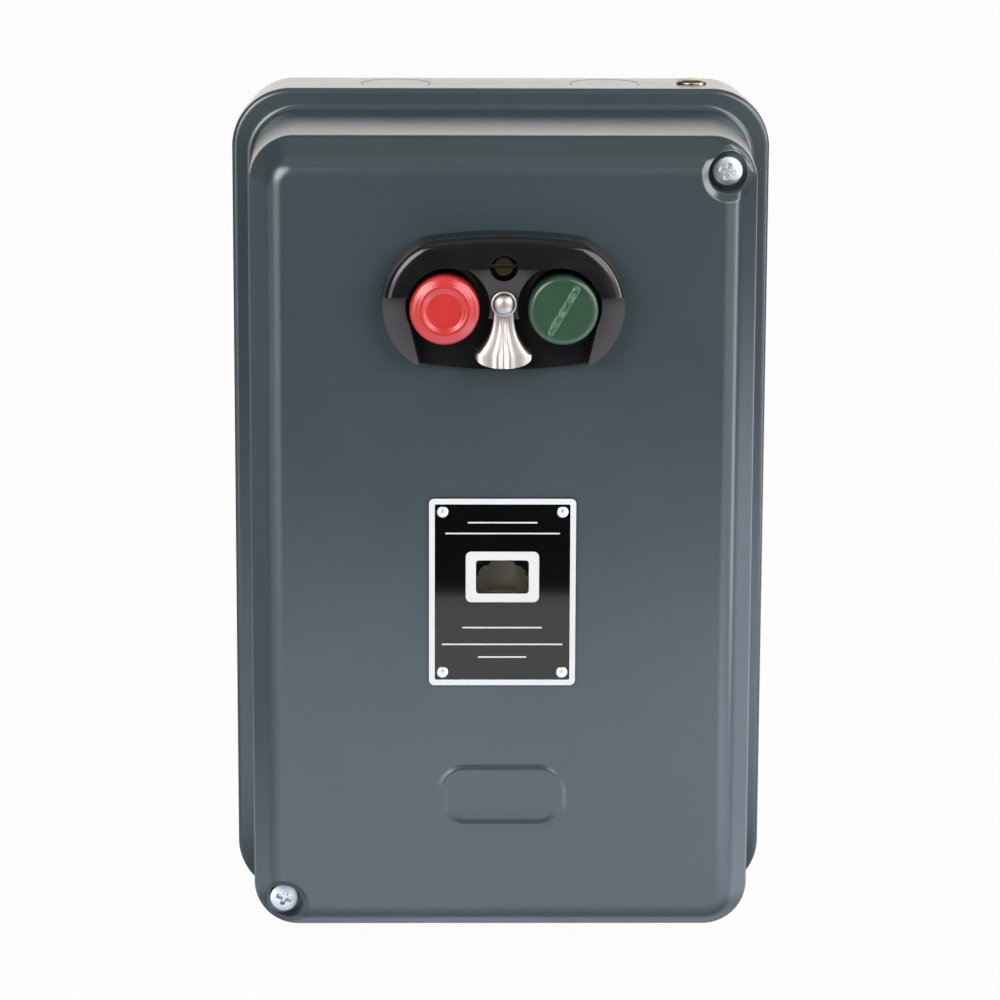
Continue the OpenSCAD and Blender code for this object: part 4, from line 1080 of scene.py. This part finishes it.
@dataclass
class StartBar:
    """Slanting bar raised on the start button's face."""

    x: float = BUTTON_X
    y: float = BUTTON_Y
    top: float = BUTTON_TOP
    length: float = 16.4
    width: float = 2.3
    height: float = 0.6
    turn: float = -30.0

    def build(self) -> None:
        """Builds the bar: rings of one stadium that close in as they rise."""
        radius = self.width / 2.0
        line = np.array([(0.15, -0.2), (0.1, 0.02), (-0.1, 0.3), (-0.3, self.height - 0.06), (-0.55, self.height)])
        table = ring_rows((0.0, self.length / 2.0 - radius), line + (radius, self.top))
        foot, fill = (table[i : i + 1] * (1.0, 1.0, 0.0, 1.0, 1.0) for i in (0, len(table) - 1))
        u, v, h = RoundLoop(7, 3, 3, 0.2).rings(np.concatenate([foot, table, fill]))
        turn = math.radians(self.turn)
        x = self.x + u * math.cos(turn) - v * math.sin(turn)
        y = self.y + u * math.sin(turn) + v * math.cos(turn)
        bar = Surface().grid(place(x, y, h), wrap_cols=True).build("start_bar", 60.0)
        settle(bar, Body.START, Slot.GREEN, WORN_GREEN)


@dataclass
class BellLever:
    """Nickel-plated lever: a bell pressed from sheet that hangs from a rivet."""

    y: float = LEVER_Y
    h: float = 113.5
    length: float = 18.4
    foot: float = 8.2
    neck: float = 2.9
    crown: tuple[float, float] = (0.7, 3.6)
    swell: Band = (0.1, 1.3)
    arch: tuple[float, float] = (0.35, 0.60)
    crease: tuple[float, float] = (0.22, 0.10)
    flute: tuple[float, float, float] = (0.28, 0.22, 0.12)
    pressed: Band = (0.15, 0.6)
    flare: float = 0.80
    lift: float = 3.7
    full: float = 2.25
    hub_r: float = 3.7
    hub_h: float = 2.0
    hub_edge: float = 0.4
    bore: float = 1.62
    sheet: float = 0.9
    edge: float = 0.25

    def half_width(self, share: np.ndarray) -> np.ndarray:
        """Half width at a share of the length: the neck, then a cubic flare to the foot."""
        return self.neck + (self.foot - self.neck) * np.minimum(share / self.flare, 1.0) ** 3

    def bell(self) -> np.ndarray:
        """Grid of the bell: rows run down its length, columns across.

        Across, each row is a flattened arch whose crown grows smoothly down the length, with a crease down
        the middle between two soft ridges; the last row is a superellipse of power full that rises by lift.
        crease is (depth, width), flute (height, place, width), as shares of the half width.

        Returns:
            Points (rows, columns, 3) in metres.
        """
        down = np.linspace(0.0, 1.0, 49)[:, None]
        across = np.sin(np.linspace(-90.0, 90.0, 81) * math.pi / 180.0)[None, :]
        end = self.length - self.lift * (1.0 - (1.0 - np.abs(across) ** self.full) ** (1.0 / self.full))
        fall = down * end
        share = fall / self.length
        width = self.half_width(share)
        crown = self.crown[0] + (self.crown[1] - self.crown[0]) * smoothstep(*self.swell, share)
        height, at, wide = self.flute
        deep, narrow = self.crease
        ridge = height * np.exp(-(((np.abs(across) - at) / wide) ** 2)) - deep * np.exp(-((across / narrow) ** 2))
        arch = np.sqrt(1.0 - self.arch[0] * across**2 - self.arch[1] * across**8)
        rise = crown * arch + ridge * smoothstep(*self.pressed, share)
        return place(width * across, self.y - fall, self.h + rise)

    def build(self) -> None:
        """Builds bell and hub as one lever."""
        bell = Surface().grid(self.bell()).build("lever_bell", 60.0)
        wall = bell.modifiers.new("sheet", "SOLIDIFY")
        wall.thickness = self.sheet * MM
        wall.offset = -1.0
        wall.use_even_offset = True
        soften(bell, self.edge, 2, 50.0)
        settle(bell, Body.LEVER, Slot.CHROME, replaces=["lock_lever"])
        base, top, out, edge = self.h, self.h + self.hub_h, self.hub_r, self.hub_edge
        line = [(self.bore, base), (out - 0.1, base), (out, base + 0.1), (out, top - edge), (out - 0.12, top - 0.12)]
        line = np.array([*line, (out - edge, top), (self.bore, top), (self.bore, base)])
        hub = Surface().revolve(line, 0.0, self.y, 48).build("lever_hub", 40.0)
        settle(hub, Body.LEVER, Slot.CHROME)


@dataclass
class LeverRivet:
    """Rivet that carries the lever, with a domed head."""

    y: float = LEVER_Y
    shank: float = 1.5
    back_r: float = 2.7
    back: tuple[float, float] = (104.0, 104.8)
    neck_z: float = 115.8
    head_r: float = 3.2
    crown: float = 118.0

    def build(self) -> None:
        """Builds the rivet as one turned outline."""
        dome = dome_points(self.head_r, self.neck_z, self.crown - self.neck_z, 12)
        low, high = self.back
        shaft = [(0.0, low), (self.back_r, low), (self.back_r, high), (self.shank, high), (self.shank, self.neck_z)]
        rivet = Surface().revolve(np.concatenate([shaft, dome]), 0.0, self.y, 40).build("pivot_rivet", 40.0)
        settle(rivet, Body.COVER, Slot.CHROME, replaces=["lever_rivet"])


@dataclass
class CoverScrews:
    """Two zinc-plated pan-head screws with a cross recess."""

    places: tuple[tuple[float, float], ...] = ((64.0, 108.4), (-64.0, -108.4))
    seat: float = 95.0
    head_r: float = 4.3
    head_h: float = 3.0
    shank_r: float = 2.4
    length: float = 16.0
    arm: float = 2.5
    arm_w: float = 0.55
    recess: float = 1.5
    soft: float = 0.2
    taper: float = 0.8
    crown: float = 0.35
    flat: Band = (0.7, 0.94)
    turn: float = 18.0

    def head(self, x: float, y: float) -> np.ndarray:
        """Grid of one screw: a crowned disc, sunk along two crossed arms, over rim and shank.

        The height is head_h * sqrt(1 - crown * r^2) with r the share of the radius; the recess is the
        product of two smooth steps, one across each arm and one along it.

        Args:
            x: the screw's axis.
            y: the screw's axis.

        Returns:
            Points (rows, columns, 3) in metres.
        """
        share = np.concatenate([np.linspace(0.0, self.flat[0], 34), np.linspace(*self.flat, 6)[1:]])[:, None]
        angle = around(144)[None, :]
        radius = share * self.head_r
        turn = angle + math.radians(self.turn)
        u, v = radius * np.cos(turn), radius * np.sin(turn)
        cut = np.zeros_like(u)
        for a, b in ((u, v), (v, u)):
            narrow = 1.0 - smoothstep(self.arm_w - self.soft, self.arm_w + self.soft, np.abs(b))
            cut = np.maximum(cut, narrow * (1.0 - smoothstep(self.arm - self.taper, self.arm, np.abs(a))))
        height = self.head_h * np.sqrt(1.0 - self.crown * share**2) - self.recess * cut
        top = place(x + radius * np.cos(angle), y + radius * np.sin(angle), self.seat + height)
        head, shank, end = self.head_r, self.shank_r, -self.length
        line = [(head * 0.985, self.head_h * 0.76), (head, self.head_h * 0.6), (head, 0.0), (shank, 0.0)]
        line = np.array([*line, (shank, end + 1.0), (shank - 0.7, end), (0.0, end)])
        rest = place(x + line[:, :1] * np.cos(angle), y + line[:, :1] * np.sin(angle), self.seat + line[:, 1:])
        return np.concatenate([top, rest])

    def build(self) -> None:
        """Builds both screws as one piece."""
        surface = Surface()
        for x, y in self.places:
            surface.grid(self.head(x, y), wrap_cols=True)
        settle(surface.build("cover_screw_pair", 45.0), Body.COVER, Slot.ZINC, replaces=["cover_screws"])


@dataclass
class PlateFace:
    """Printed lines and rivet heads of the nameplate, laid on its front."""

    size: tuple[float, float] = (42.6, 55.7)
    y: float = -13.1
    front: float = 106.8
    corner: float = 1.5
    border: float = 1.75
    window: tuple[float, float, float] = (15.2, 9.8, -8.5)
    frame: tuple[float, float] = (21.2, 15.0)
    ink: float = 0.06
    sunk: float = 0.01
    trim: float = 0.2
    slack: float = 0.1
    field_r: float = 0.5
    frame_r: float = 1.6
    hole_r: float = 1.0
    rules: tuple[tuple[float, float], ...] = ((4.4, 33.0), (7.6, 20.0), (-23.6, 23.0), (-28.6, 35.0), (-32.4, 14.0))
    rule_w: float = 0.42
    rivet: tuple[float, float, float] = (17.3, 23.85, 1.7)
    dome: float = 0.75
    tail: float = 0.8
    shank: float = 0.6
    back: float = 104.0

    def ring(self, outer: tuple[float, ...], inner: tuple[float, ...], y: float) -> np.ndarray:
        """Grid of a flat band between two rounded rectangles, each (width, height, radius)."""
        low, high = self.front - self.sunk, self.front + self.ink
        rows = []
        for (width, height, radius), levels in ((outer, (low, high)), (inner, (high, low))):
            line = np.array([(radius, level) for level in levels])
            rows.append(ring_rows((width / 2.0 - radius, height / 2.0 - radius), line, y))
        return place(*RoundLoop(9, 3, 4, 0.1).rings(np.concatenate(rows)))

    def build(self) -> None:
        """Builds border, window frame and rules as one print, then the four rivets."""
        width, height = self.size
        hole_w, hole_h, hole_y = self.window
        rim = (width - self.trim, height - self.trim, self.corner)
        inside = (width - 2.0 * self.border, height - 2.0 * self.border, self.field_r)
        hole = (hole_w + self.slack, hole_h + self.slack, self.hole_r)
        ink = Surface()
        for outer, inner, y in ((rim, inside, self.y), ((*self.frame, self.frame_r), hole, hole_y)):
            ink.grid(self.ring(outer, inner, y), wrap_rows=True, wrap_cols=True)
        for y, length in self.rules:
            ink.grid(self.rule(y, length), wrap_cols=True)
        settle(ink.build("plate_print", 30.0), Body.COVER, Slot.PLATE, WHITE_PRINT)
        settle(self.rivets(), Body.COVER, Slot.ZINC, replaces=["nameplate_rivets"])

    def rule(self, y: float, length: float) -> np.ndarray:
        """Grid of one ruled line: a thin flat bar closed over its top."""
        corners = np.array([(1.0, -1.0), (1.0, 1.0), (-1.0, 1.0), (-1.0, -1.0)]) * (length / 2.0, self.rule_w / 2.0)
        rows = np.array([0.0, 1.0, 1.0, 0.0])[:, None]
        level = np.array([-self.sunk, -self.sunk, self.ink, self.ink])[:, None]
        return place(rows * corners[:, 0], y + rows * corners[:, 1], self.front + level)

    def rivets(self) -> bpy.types.Object:
        """Four rivets, each a shank with a domed head and a clinched tail."""
        out_x, out_y, radius = self.rivet
        dome = dome_points(radius, self.front + self.ink, self.dome, 9)
        shank, low, high = radius * self.shank, self.back, self.back + self.tail
        shaft = [(0.0, low), (radius, low), (radius, high), (shank, high), (shank, self.front), (radius, self.front)]
        surface = Surface()
        for sx in (-1.0, 1.0):
            for sy in (-1.0, 1.0):
                surface.revolve(np.concatenate([shaft, dome]), sx * out_x, self.y + sy * out_y, 32)
        return surface.build("plate_rivets", 40.0)


@dataclass
class CoilSpring:
    """Helical springs about axes out from the wall, with closed ends.

    span holds the lowest and highest place of the wire, and anchor a height that build reads but puts to no use.
    keep is not used.
    """

    name: str
    node: str
    body: Body
    joint: str
    centres: tuple[tuple[float, float], ...]
    radius: float
    span: tuple[float, float]
    turns: float
    anchor: float
    keep: float
    wire: float = 0.4
    closed: float = 0.06
    easing: float = 0.25

    def build(self) -> None:
        """Builds the coils: angle grows evenly and the rise is an S, so that the ends lie flat."""
        t = np.linspace(0.0, 1.0, int(self.turns * 36))
        angle = 2.0 * np.pi * self.turns * t
        rise = np.clip((t - self.closed) / (1.0 - 2.0 * self.closed), 0.0, 1.0)
        bottom, top = self.span[0] + self.wire, self.span[1] - self.wire
        eased = (1.0 - self.easing) * rise + self.easing * smoothstep(0.0, 1.0, rise)
        h = bottom + (top - bottom) * eased
        side = np.stack([np.cos(angle), np.sin(angle), 0.0 * angle], axis=-1)
        surface = Surface()
        for x, y in self.centres:
            path = np.stack([x + self.radius * side[:, 0], y + self.radius * side[:, 1], h], axis=-1)
            surface.tube(path, side, self.wire)
        coil = surface.build(self.name, 60.0)
        settle(coil, self.body, Slot.SPRING, replaces=[self.node])
        anchor = place(0.0, 0.0, self.anchor)
        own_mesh(coil)


@dataclass
class DressedSolids:
    """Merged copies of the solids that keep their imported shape, with softened edges."""

    record: dict[str, Any]
    nodes: dict[str, bpy.types.Object]
    width: float = 0.28
    wide: float = 0.35
    widths: dict[str, float] = field(
        default_factory=lambda: {
            "enclosure_box": 0.4,
            "button_housing": 0.45,
            "nameplate": 0.12,
            "window_pane": 0.1,
            "knockout_blanks": 0.35,
            "control_wires": 0.0,
            "coil_winding": 1.2,
            "cover_gasket": 0.5,
        }
    )
    finishes: dict[str, Any] = field(
        default_factory=lambda: {
            "button_housing": HOUSING_BLACK,
            # The housing screw takes brass darkened with painted shade of its deep hole.
            "housing_screw": HOLE_SHADE_BRASS,
            "earth_screws": DULL_BRASS,
            "earth_washers": DULL_BRASS,
            "setting_dial": OLIVE,
        }
    )

    def copy(self, node: str) -> bpy.types.Object:
        """Copies one solid: doubles merged, flat faces joined, loaded normals dropped, smooth shaded.

        Args:
            node: the solid's name.

        Returns:
            A new object at the origin.
        """
        mesh = self.nodes[node].data.copy()
        mesh.name = f"{node}_dressed"
        work = bmesh.new()
        work.from_mesh(mesh)
        bmesh.ops.remove_doubles(work, verts=work.verts, dist=2e-6)
        flat = math.radians(0.4)
        bmesh.ops.dissolve_limit(
            work, angle_limit=flat, verts=work.verts, edges=work.edges, use_dissolve_boundaries=False
        )
        work.to_mesh(mesh)
        work.free()
        loaded = mesh.attributes.get("custom_normal")
        if loaded:
            mesh.attributes.remove(loaded)
        smooth_mesh(mesh, 32.0)
        return mesh_object(f"{node}_dressed", mesh)

    def build(self) -> None:
        """Dresses every solid that no other piece stands for."""
        bodies = {node: body for body, nodes in self.record["behaviour"]["bodies"].items() for node in nodes}
        for row in self.record["subparts"]:
            node = row["node"]
            if node in REPLACED:
                continue
            piece = self.copy(node)
            width = self.widths.get(node, self.width)
            if width:
                soften(piece, width, 3 if width > self.wide else 2)
            settle(piece, Body(bodies[node]), Slot(row["material_slot"]), self.finishes.get(node), [node])


@dataclass(frozen=True)
class FloorGlow:
    """Light of the floor as glossy faces mirror it.

    The bands are places across or deep, metres, over which a share grows from 0 to 1. The left is dim, the middle
    bright, a painted shadow darkens the floor round the part's footprint, and a bright wedge lies far out to the
    right.
    """

    tint: Colour = (0.86, 0.94, 1.12)
    deep: Band = (-0.25, 0.05)
    rear: Band = (-0.25, -0.05)
    left_level: tuple[float, float] = (0.3, 0.8)
    middle: Band = (-0.28, -0.10)
    middle_level: float = 1.75
    right: Band = (-0.05, 0.18)
    right_loss: float = 0.6
    corner: tuple[Band, Band] = ((0.07, 0.16), (0.22, 0.34))
    corner_gain: float = 1.9
    side: Band = (0.085, 0.12)
    front: float = -0.105
    front_reach: float = 0.03
    foot: Band = (-0.5, 1.0)
    far: Band = (0.62, 0.95)
    far_loss: float = 0.9
    wedge_from: tuple[float, float] = (0.07, -0.10)
    wedge_out: Band = (0.30, 0.60)
    wedge_turn: tuple[Band, Band] = ((0.0, 0.10), (0.24, 0.40))
    wedge_far: Band = (0.70, 1.0)
    wedge_level: tuple[float, float] = (6.5, 2.0)
    shade_deep: Band = (-0.16, -0.06)
    shade: tuple[Band, Band] = ((-0.32, -0.20), (-0.12, -0.02))
    shade_loss: float = 0.55

    def level(self, tree: ShaderTree) -> Sock:
        """Strength of the light at each place of the floor."""
        across, depth = tree.axis("X"), tree.axis("Y")
        left = self.left_level[0] + self.left_level[1] * (1.0 - tree.ramp(depth, *self.deep))
        middle = tree.ramp(across, *self.middle)
        rear = tree.ramp(depth, *self.rear)
        corner = tree.hill(across, *self.corner) * (1.0 - rear)
        # Painted shadow: the glow fades out close beside the part's footprint and just in front of it.
        beside = tree.ramp(abs(across), *self.side) + tree.ramp(self.front - depth, 0.0, self.front_reach)
        even = left + (self.middle_level - left) * middle
        even = even - self.right_loss * tree.ramp(across, *self.right) * rear + self.corner_gain * corner
        far = middle * tree.ramp(across, *self.far) * self.far_loss
        shade = tree.ramp(depth, *self.shade_deep) * tree.hill(across, *self.shade) * self.shade_loss
        bearing = (self.wedge_from[1] - depth) / (across - self.wedge_from[0])
        wedge = tree.ramp(across, *self.wedge_out) * tree.hill(bearing, *self.wedge_turn)
        bright = self.wedge_level[0] - self.wedge_level[1] * tree.ramp(across, *self.wedge_far)
        # The beside and shade factors lay painted shadow over the glow near the part.
        return even * tree.ramp(beside, *self.foot) * (1.0 - far) * (1.0 - shade) + bright * wedge


@dataclass(frozen=True)
class WorldGlow:
    """Light from beyond the floor as glossy faces mirror it: backdrop, panels to either side and light from above.

    The bands are parts of a unit direction over which a share grows from 0 to 1.
    """

    dim: float = 0.03
    above: Band = (0.78, 0.92)
    above_level: float = 0.4
    behind: Band = (0.62, 0.86)
    low: Band = (0.36, 0.60)
    backdrop: float = 1.6
    left: tuple[Band, Band] = ((0.30, 0.46), (0.74, 0.90))
    left_front: Band = (-0.35, -0.15)
    left_top: Band = (0.62, 0.80)
    left_steps: tuple[tuple[float, Band], ...] = ((1.0, (-0.45, -0.30)), (2.2, (-0.24, -0.06)))
    right: Band = (0.40, 0.55)
    right_turn: tuple[Band, Band] = ((0.0, 0.10), (0.30, 0.50))
    right_top: Band = (0.66, 0.80)
    right_steps: tuple[tuple[float, Band], ...] = ((3.0, (-0.45, -0.20)), (6.0, (-0.15, 0.05)))
    flank: Band = (0.12, 0.40)
    flank_front: Band = (-0.35, -0.10)
    flank_rise: tuple[Band, Band] = ((-0.45, -0.30), (0.10, 0.40))
    flank_level: float = 1.3

    def level(self, sheet: NodeSheet) -> Sock:
        """Strength of the light in each direction."""
        across, depth, height = (sheet.axis(name) for name in "XYZ")

        def under(value: Sock, band: Band) -> Sock:
            """1 below a band, 0 above it."""
            return 1.0 - sheet.ramp(value, *band)

        def panel(steps: tuple[tuple[float, Band], ...], top: Band) -> Sock:
            """Brightness of a panel up its height: two steps, each a level over a band, and its upper end."""
            first, second = (level * sheet.ramp(height, *band) for level, band in steps)
            return (first + second) * under(height, top)

        left = sheet.hill(0.0 - across, *self.left) * under(depth, self.left_front)
        right = sheet.ramp(across, *self.right) * sheet.hill((0.0 - depth) / across, *self.right_turn)
        flank = sheet.ramp(across, *self.flank) * under(depth, self.flank_front)
        flank = self.flank_level * flank * sheet.hill(height, *self.flank_rise)
        back = self.backdrop * sheet.ramp(depth, *self.behind) * under(height, self.low)
        panels = left * panel(self.left_steps, self.left_top) + right * panel(self.right_steps, self.right_top)
        return self.dim + self.above_level * sheet.ramp(height, *self.above) + back + panels + flank


@dataclass
class Studio:
    """Camera, pale floor and soft lamps."""

    eye: tuple[float, float, float] = (-0.0181, -1.3199, 0.2862)
    look: tuple[float, float, float] = (0.01382, 0.97569, -0.21868)
    roll: float = 0.2196
    focal: float = 4318.9
    centre: tuple[float, float] = (499.51, 499.95)
    frame: float = 1000.0
    sensor: float = 36.0
    floor_z: float = -0.1282
    floor_front: float = -0.57
    floor_size: float = 3.0
    floor_white: float = 0.97
    pale: tuple[Colour, Colour] = ((0.80, 0.80, 0.80), (0.84, 0.84, 0.84))
    fill: float = 0.25
    warm: Colour = (1.0, 0.96, 0.93)
    white: Colour = (1.0, 1.0, 1.0)
    lamp_at: tuple[float, float, float] = (0.64, -0.92, 0.60)
    lamp_aim: tuple[float, float, float] = (0.0, -0.10, 0.0)
    lamp_size: float = 0.75
    lamp_power: float = 9.0

    def camera(self) -> None:
        """Sets the camera to the photograph's view: focal length and middle in pixels of the frame."""
        data = bpy.data.cameras.new("camera")
        data.sensor_width = self.sensor
        data.lens = self.focal / self.frame * self.sensor
        data.shift_x = (self.frame / 2.0 - self.centre[0]) / self.frame
        data.shift_y = (self.centre[1] - self.frame / 2.0) / self.frame
        camera = bpy.data.objects.new("camera", data)
        bpy.context.scene.collection.objects.link(camera)
        ahead = Vector(self.look).normalized()
        right = ahead.cross(Vector((0.0, 0.0, 1.0))).normalized()
        up = right.cross(ahead)
        turn = math.radians(self.roll)
        across = math.cos(turn) * right + math.sin(turn) * up
        above = math.cos(turn) * up - math.sin(turn) * right
        axes = Matrix((across, above, -ahead)).transposed().to_4x4()
        camera.matrix_world = Matrix.Translation(self.eye) @ axes
        bpy.context.scene.camera = camera

    def lamp(self, name: str, side: float) -> None:
        """Adds one soft square lamp, at the left for side -1 and at the right for side 1."""
        data = bpy.data.lights.new(name, "AREA")
        data.shape = "RECTANGLE"
        data.size = data.size_y = self.lamp_size
        data.energy = self.lamp_power
        lamp = bpy.data.objects.new(name, data)
        bpy.context.scene.collection.objects.link(lamp)
        x, y, z = self.lamp_at
        lamp.location = (side * x, y, z)
        lamp.rotation_euler = (Vector(self.lamp_aim) - lamp.location).to_track_quat("-Z", "Y").to_euler()

    def floor(self) -> None:
        """Lays a pale floor that ends in front of the part, so that upright faces mirror its edge.

        The camera sees it near white under a faint shadow; glossy faces see the glow.
        """
        front, size = self.floor_front, self.floor_size
        corners = [(-size, front), (size, front), (size, size), (-size, size)]
        mesh = bpy.data.meshes.new("floor")
        mesh.from_pydata([(x, y, self.floor_z) for x, y in corners], [], [(0, 1, 2, 3)])
        floor = mesh_object("floor", mesh)
        tree = ShaderTree("pale_floor")
        tree.finish(Base_Color=tree.mix(tree.noise(3.0), *self.pale), Roughness=0.9)
        glow = FloorGlow()
        seen = tree.node("ShaderNodeEmission", {"Color": glow.tint, "Strength": glow.level(tree)})
        white = tree.node("ShaderNodeEmission", {"Color": self.white, "Strength": 1.0})
        plain = Sock(tree, tree.shader.outputs[0])
        glossy = tree.node("ShaderNodeMixShader", {0: tree.ray("Glossy"), 1: plain, 2: seen})
        share = tree.ray("Camera") * self.floor_white
        tree.feed(tree.out, tree.node("ShaderNodeMixShader", {0: share, 1: glossy, 2: white}))
        floor.data.materials.append(tree.material)

    def world(self) -> None:
        """White to the camera, the glow to glossy faces, and an even dim fill."""
        world = bpy.data.worlds.new("studio")
        bpy.context.scene.world = world
        world.use_nodes = True
        sheet = NodeSheet(world.node_tree, "Generated")
        mirrored = WorldGlow().level(sheet)
        camera, glossy = sheet.ray("Camera"), sheet.ray("Glossy")
        level = camera + (1.0 - camera) * (glossy * mirrored + (1.0 - glossy) * self.fill)
        tint = sheet.mix(camera, self.warm, self.white)
        back = sheet.node("ShaderNodeBackground", {"Color": tint, "Strength": level})
        out = sheet.tree.nodes.new("ShaderNodeOutputWorld")
        sheet.feed(out.inputs["Surface"], back)

    def build(self) -> None:
        """Sets camera, floor, world and lamps."""
        self.camera()
        self.floor()
        self.world()
        self.lamp("left_box", -1.0)
        self.lamp("right_box", 1.0)
        bpy.context.scene.view_settings.view_transform = "Standard"


STOP_FACE = (
    *((0.0, 119.42), (4.8, 119.42), (5.2, 119.46), (5.5, 119.6), (5.8, 119.86), (6.1, 120.06)),
    *((6.5, 120.16), (7.0, 120.18), (7.4, 120.1), (7.7, 119.92), (8.0, 119.7), (8.3, 119.54)),
)
START_FACE = ((0.0, 119.42), (5.0, 119.42), (8.0, 119.4))


def buttons() -> list[ButtonCap]:
    """The stop button with a ring on its face, and the plain start button."""
    return [
        ButtonCap("stop_cap", "stop_button", Body.STOP, Slot.RED, -BUTTON_X, face=STOP_FACE),
        ButtonCap("start_cap", "start_button", Body.START, Slot.GREEN, BUTTON_X, face=START_FACE),
    ]


def springs() -> list[CoilSpring]:
    """The springs of buttons, contacts and armature."""
    pole, contactor_y = 24.0, 50.0
    pull, low, high = "carrier_pull_in", 38.0, 63.0
    returns = tuple((side * 32.0, contactor_y) for side in (-1.0, 1.0))
    poles = tuple((side * pole, contactor_y) for side in (-1.0, 0.0, 1.0))
    made = []
    for side, name in ((-1.0, "stop"), (1.0, "start")):
        at = ((side * BUTTON_X, BUTTON_Y),)
        names = (f"{name}_coil", f"{name}_spring", Body.COVER, f"{name}_push")
        made.append(CoilSpring(*names, at, 6.1, (108.0, 117.0), 5.0, 108.0, 0.5, wire=0.45))
    names = ("return_coils", "return_springs", Body.ENCLOSURE, pull)
    made.append(CoilSpring(*names, returns, 2.3, (low, 53.0), 7.0, low, 0.65))
    names = ("contact_coils", "contact_springs", Body.CARRIER, pull)
    made.append(CoilSpring(*names, poles, 3.0, (56.7, high), 4.0, high, 0.9))
    return made


def main(frame: dict[str, Any]) -> None:
    """Builds the starter's pieces in order, outer ones first, then the stage.
    """
    logging.basicConfig(level=logging.INFO, format="%(message)s")
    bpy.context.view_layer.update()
    Studio().build()
    pieces = [PressedCover(), *buttons(), StartBar(), BellLever(), LeverRivet(), CoverScrews(), PlateFace()]
    for piece in (*pieces, *springs(), DressedSolids(frame["record"], frame["nodes"])):
        piece.build()


if __name__ == "__main__":
    main(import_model())
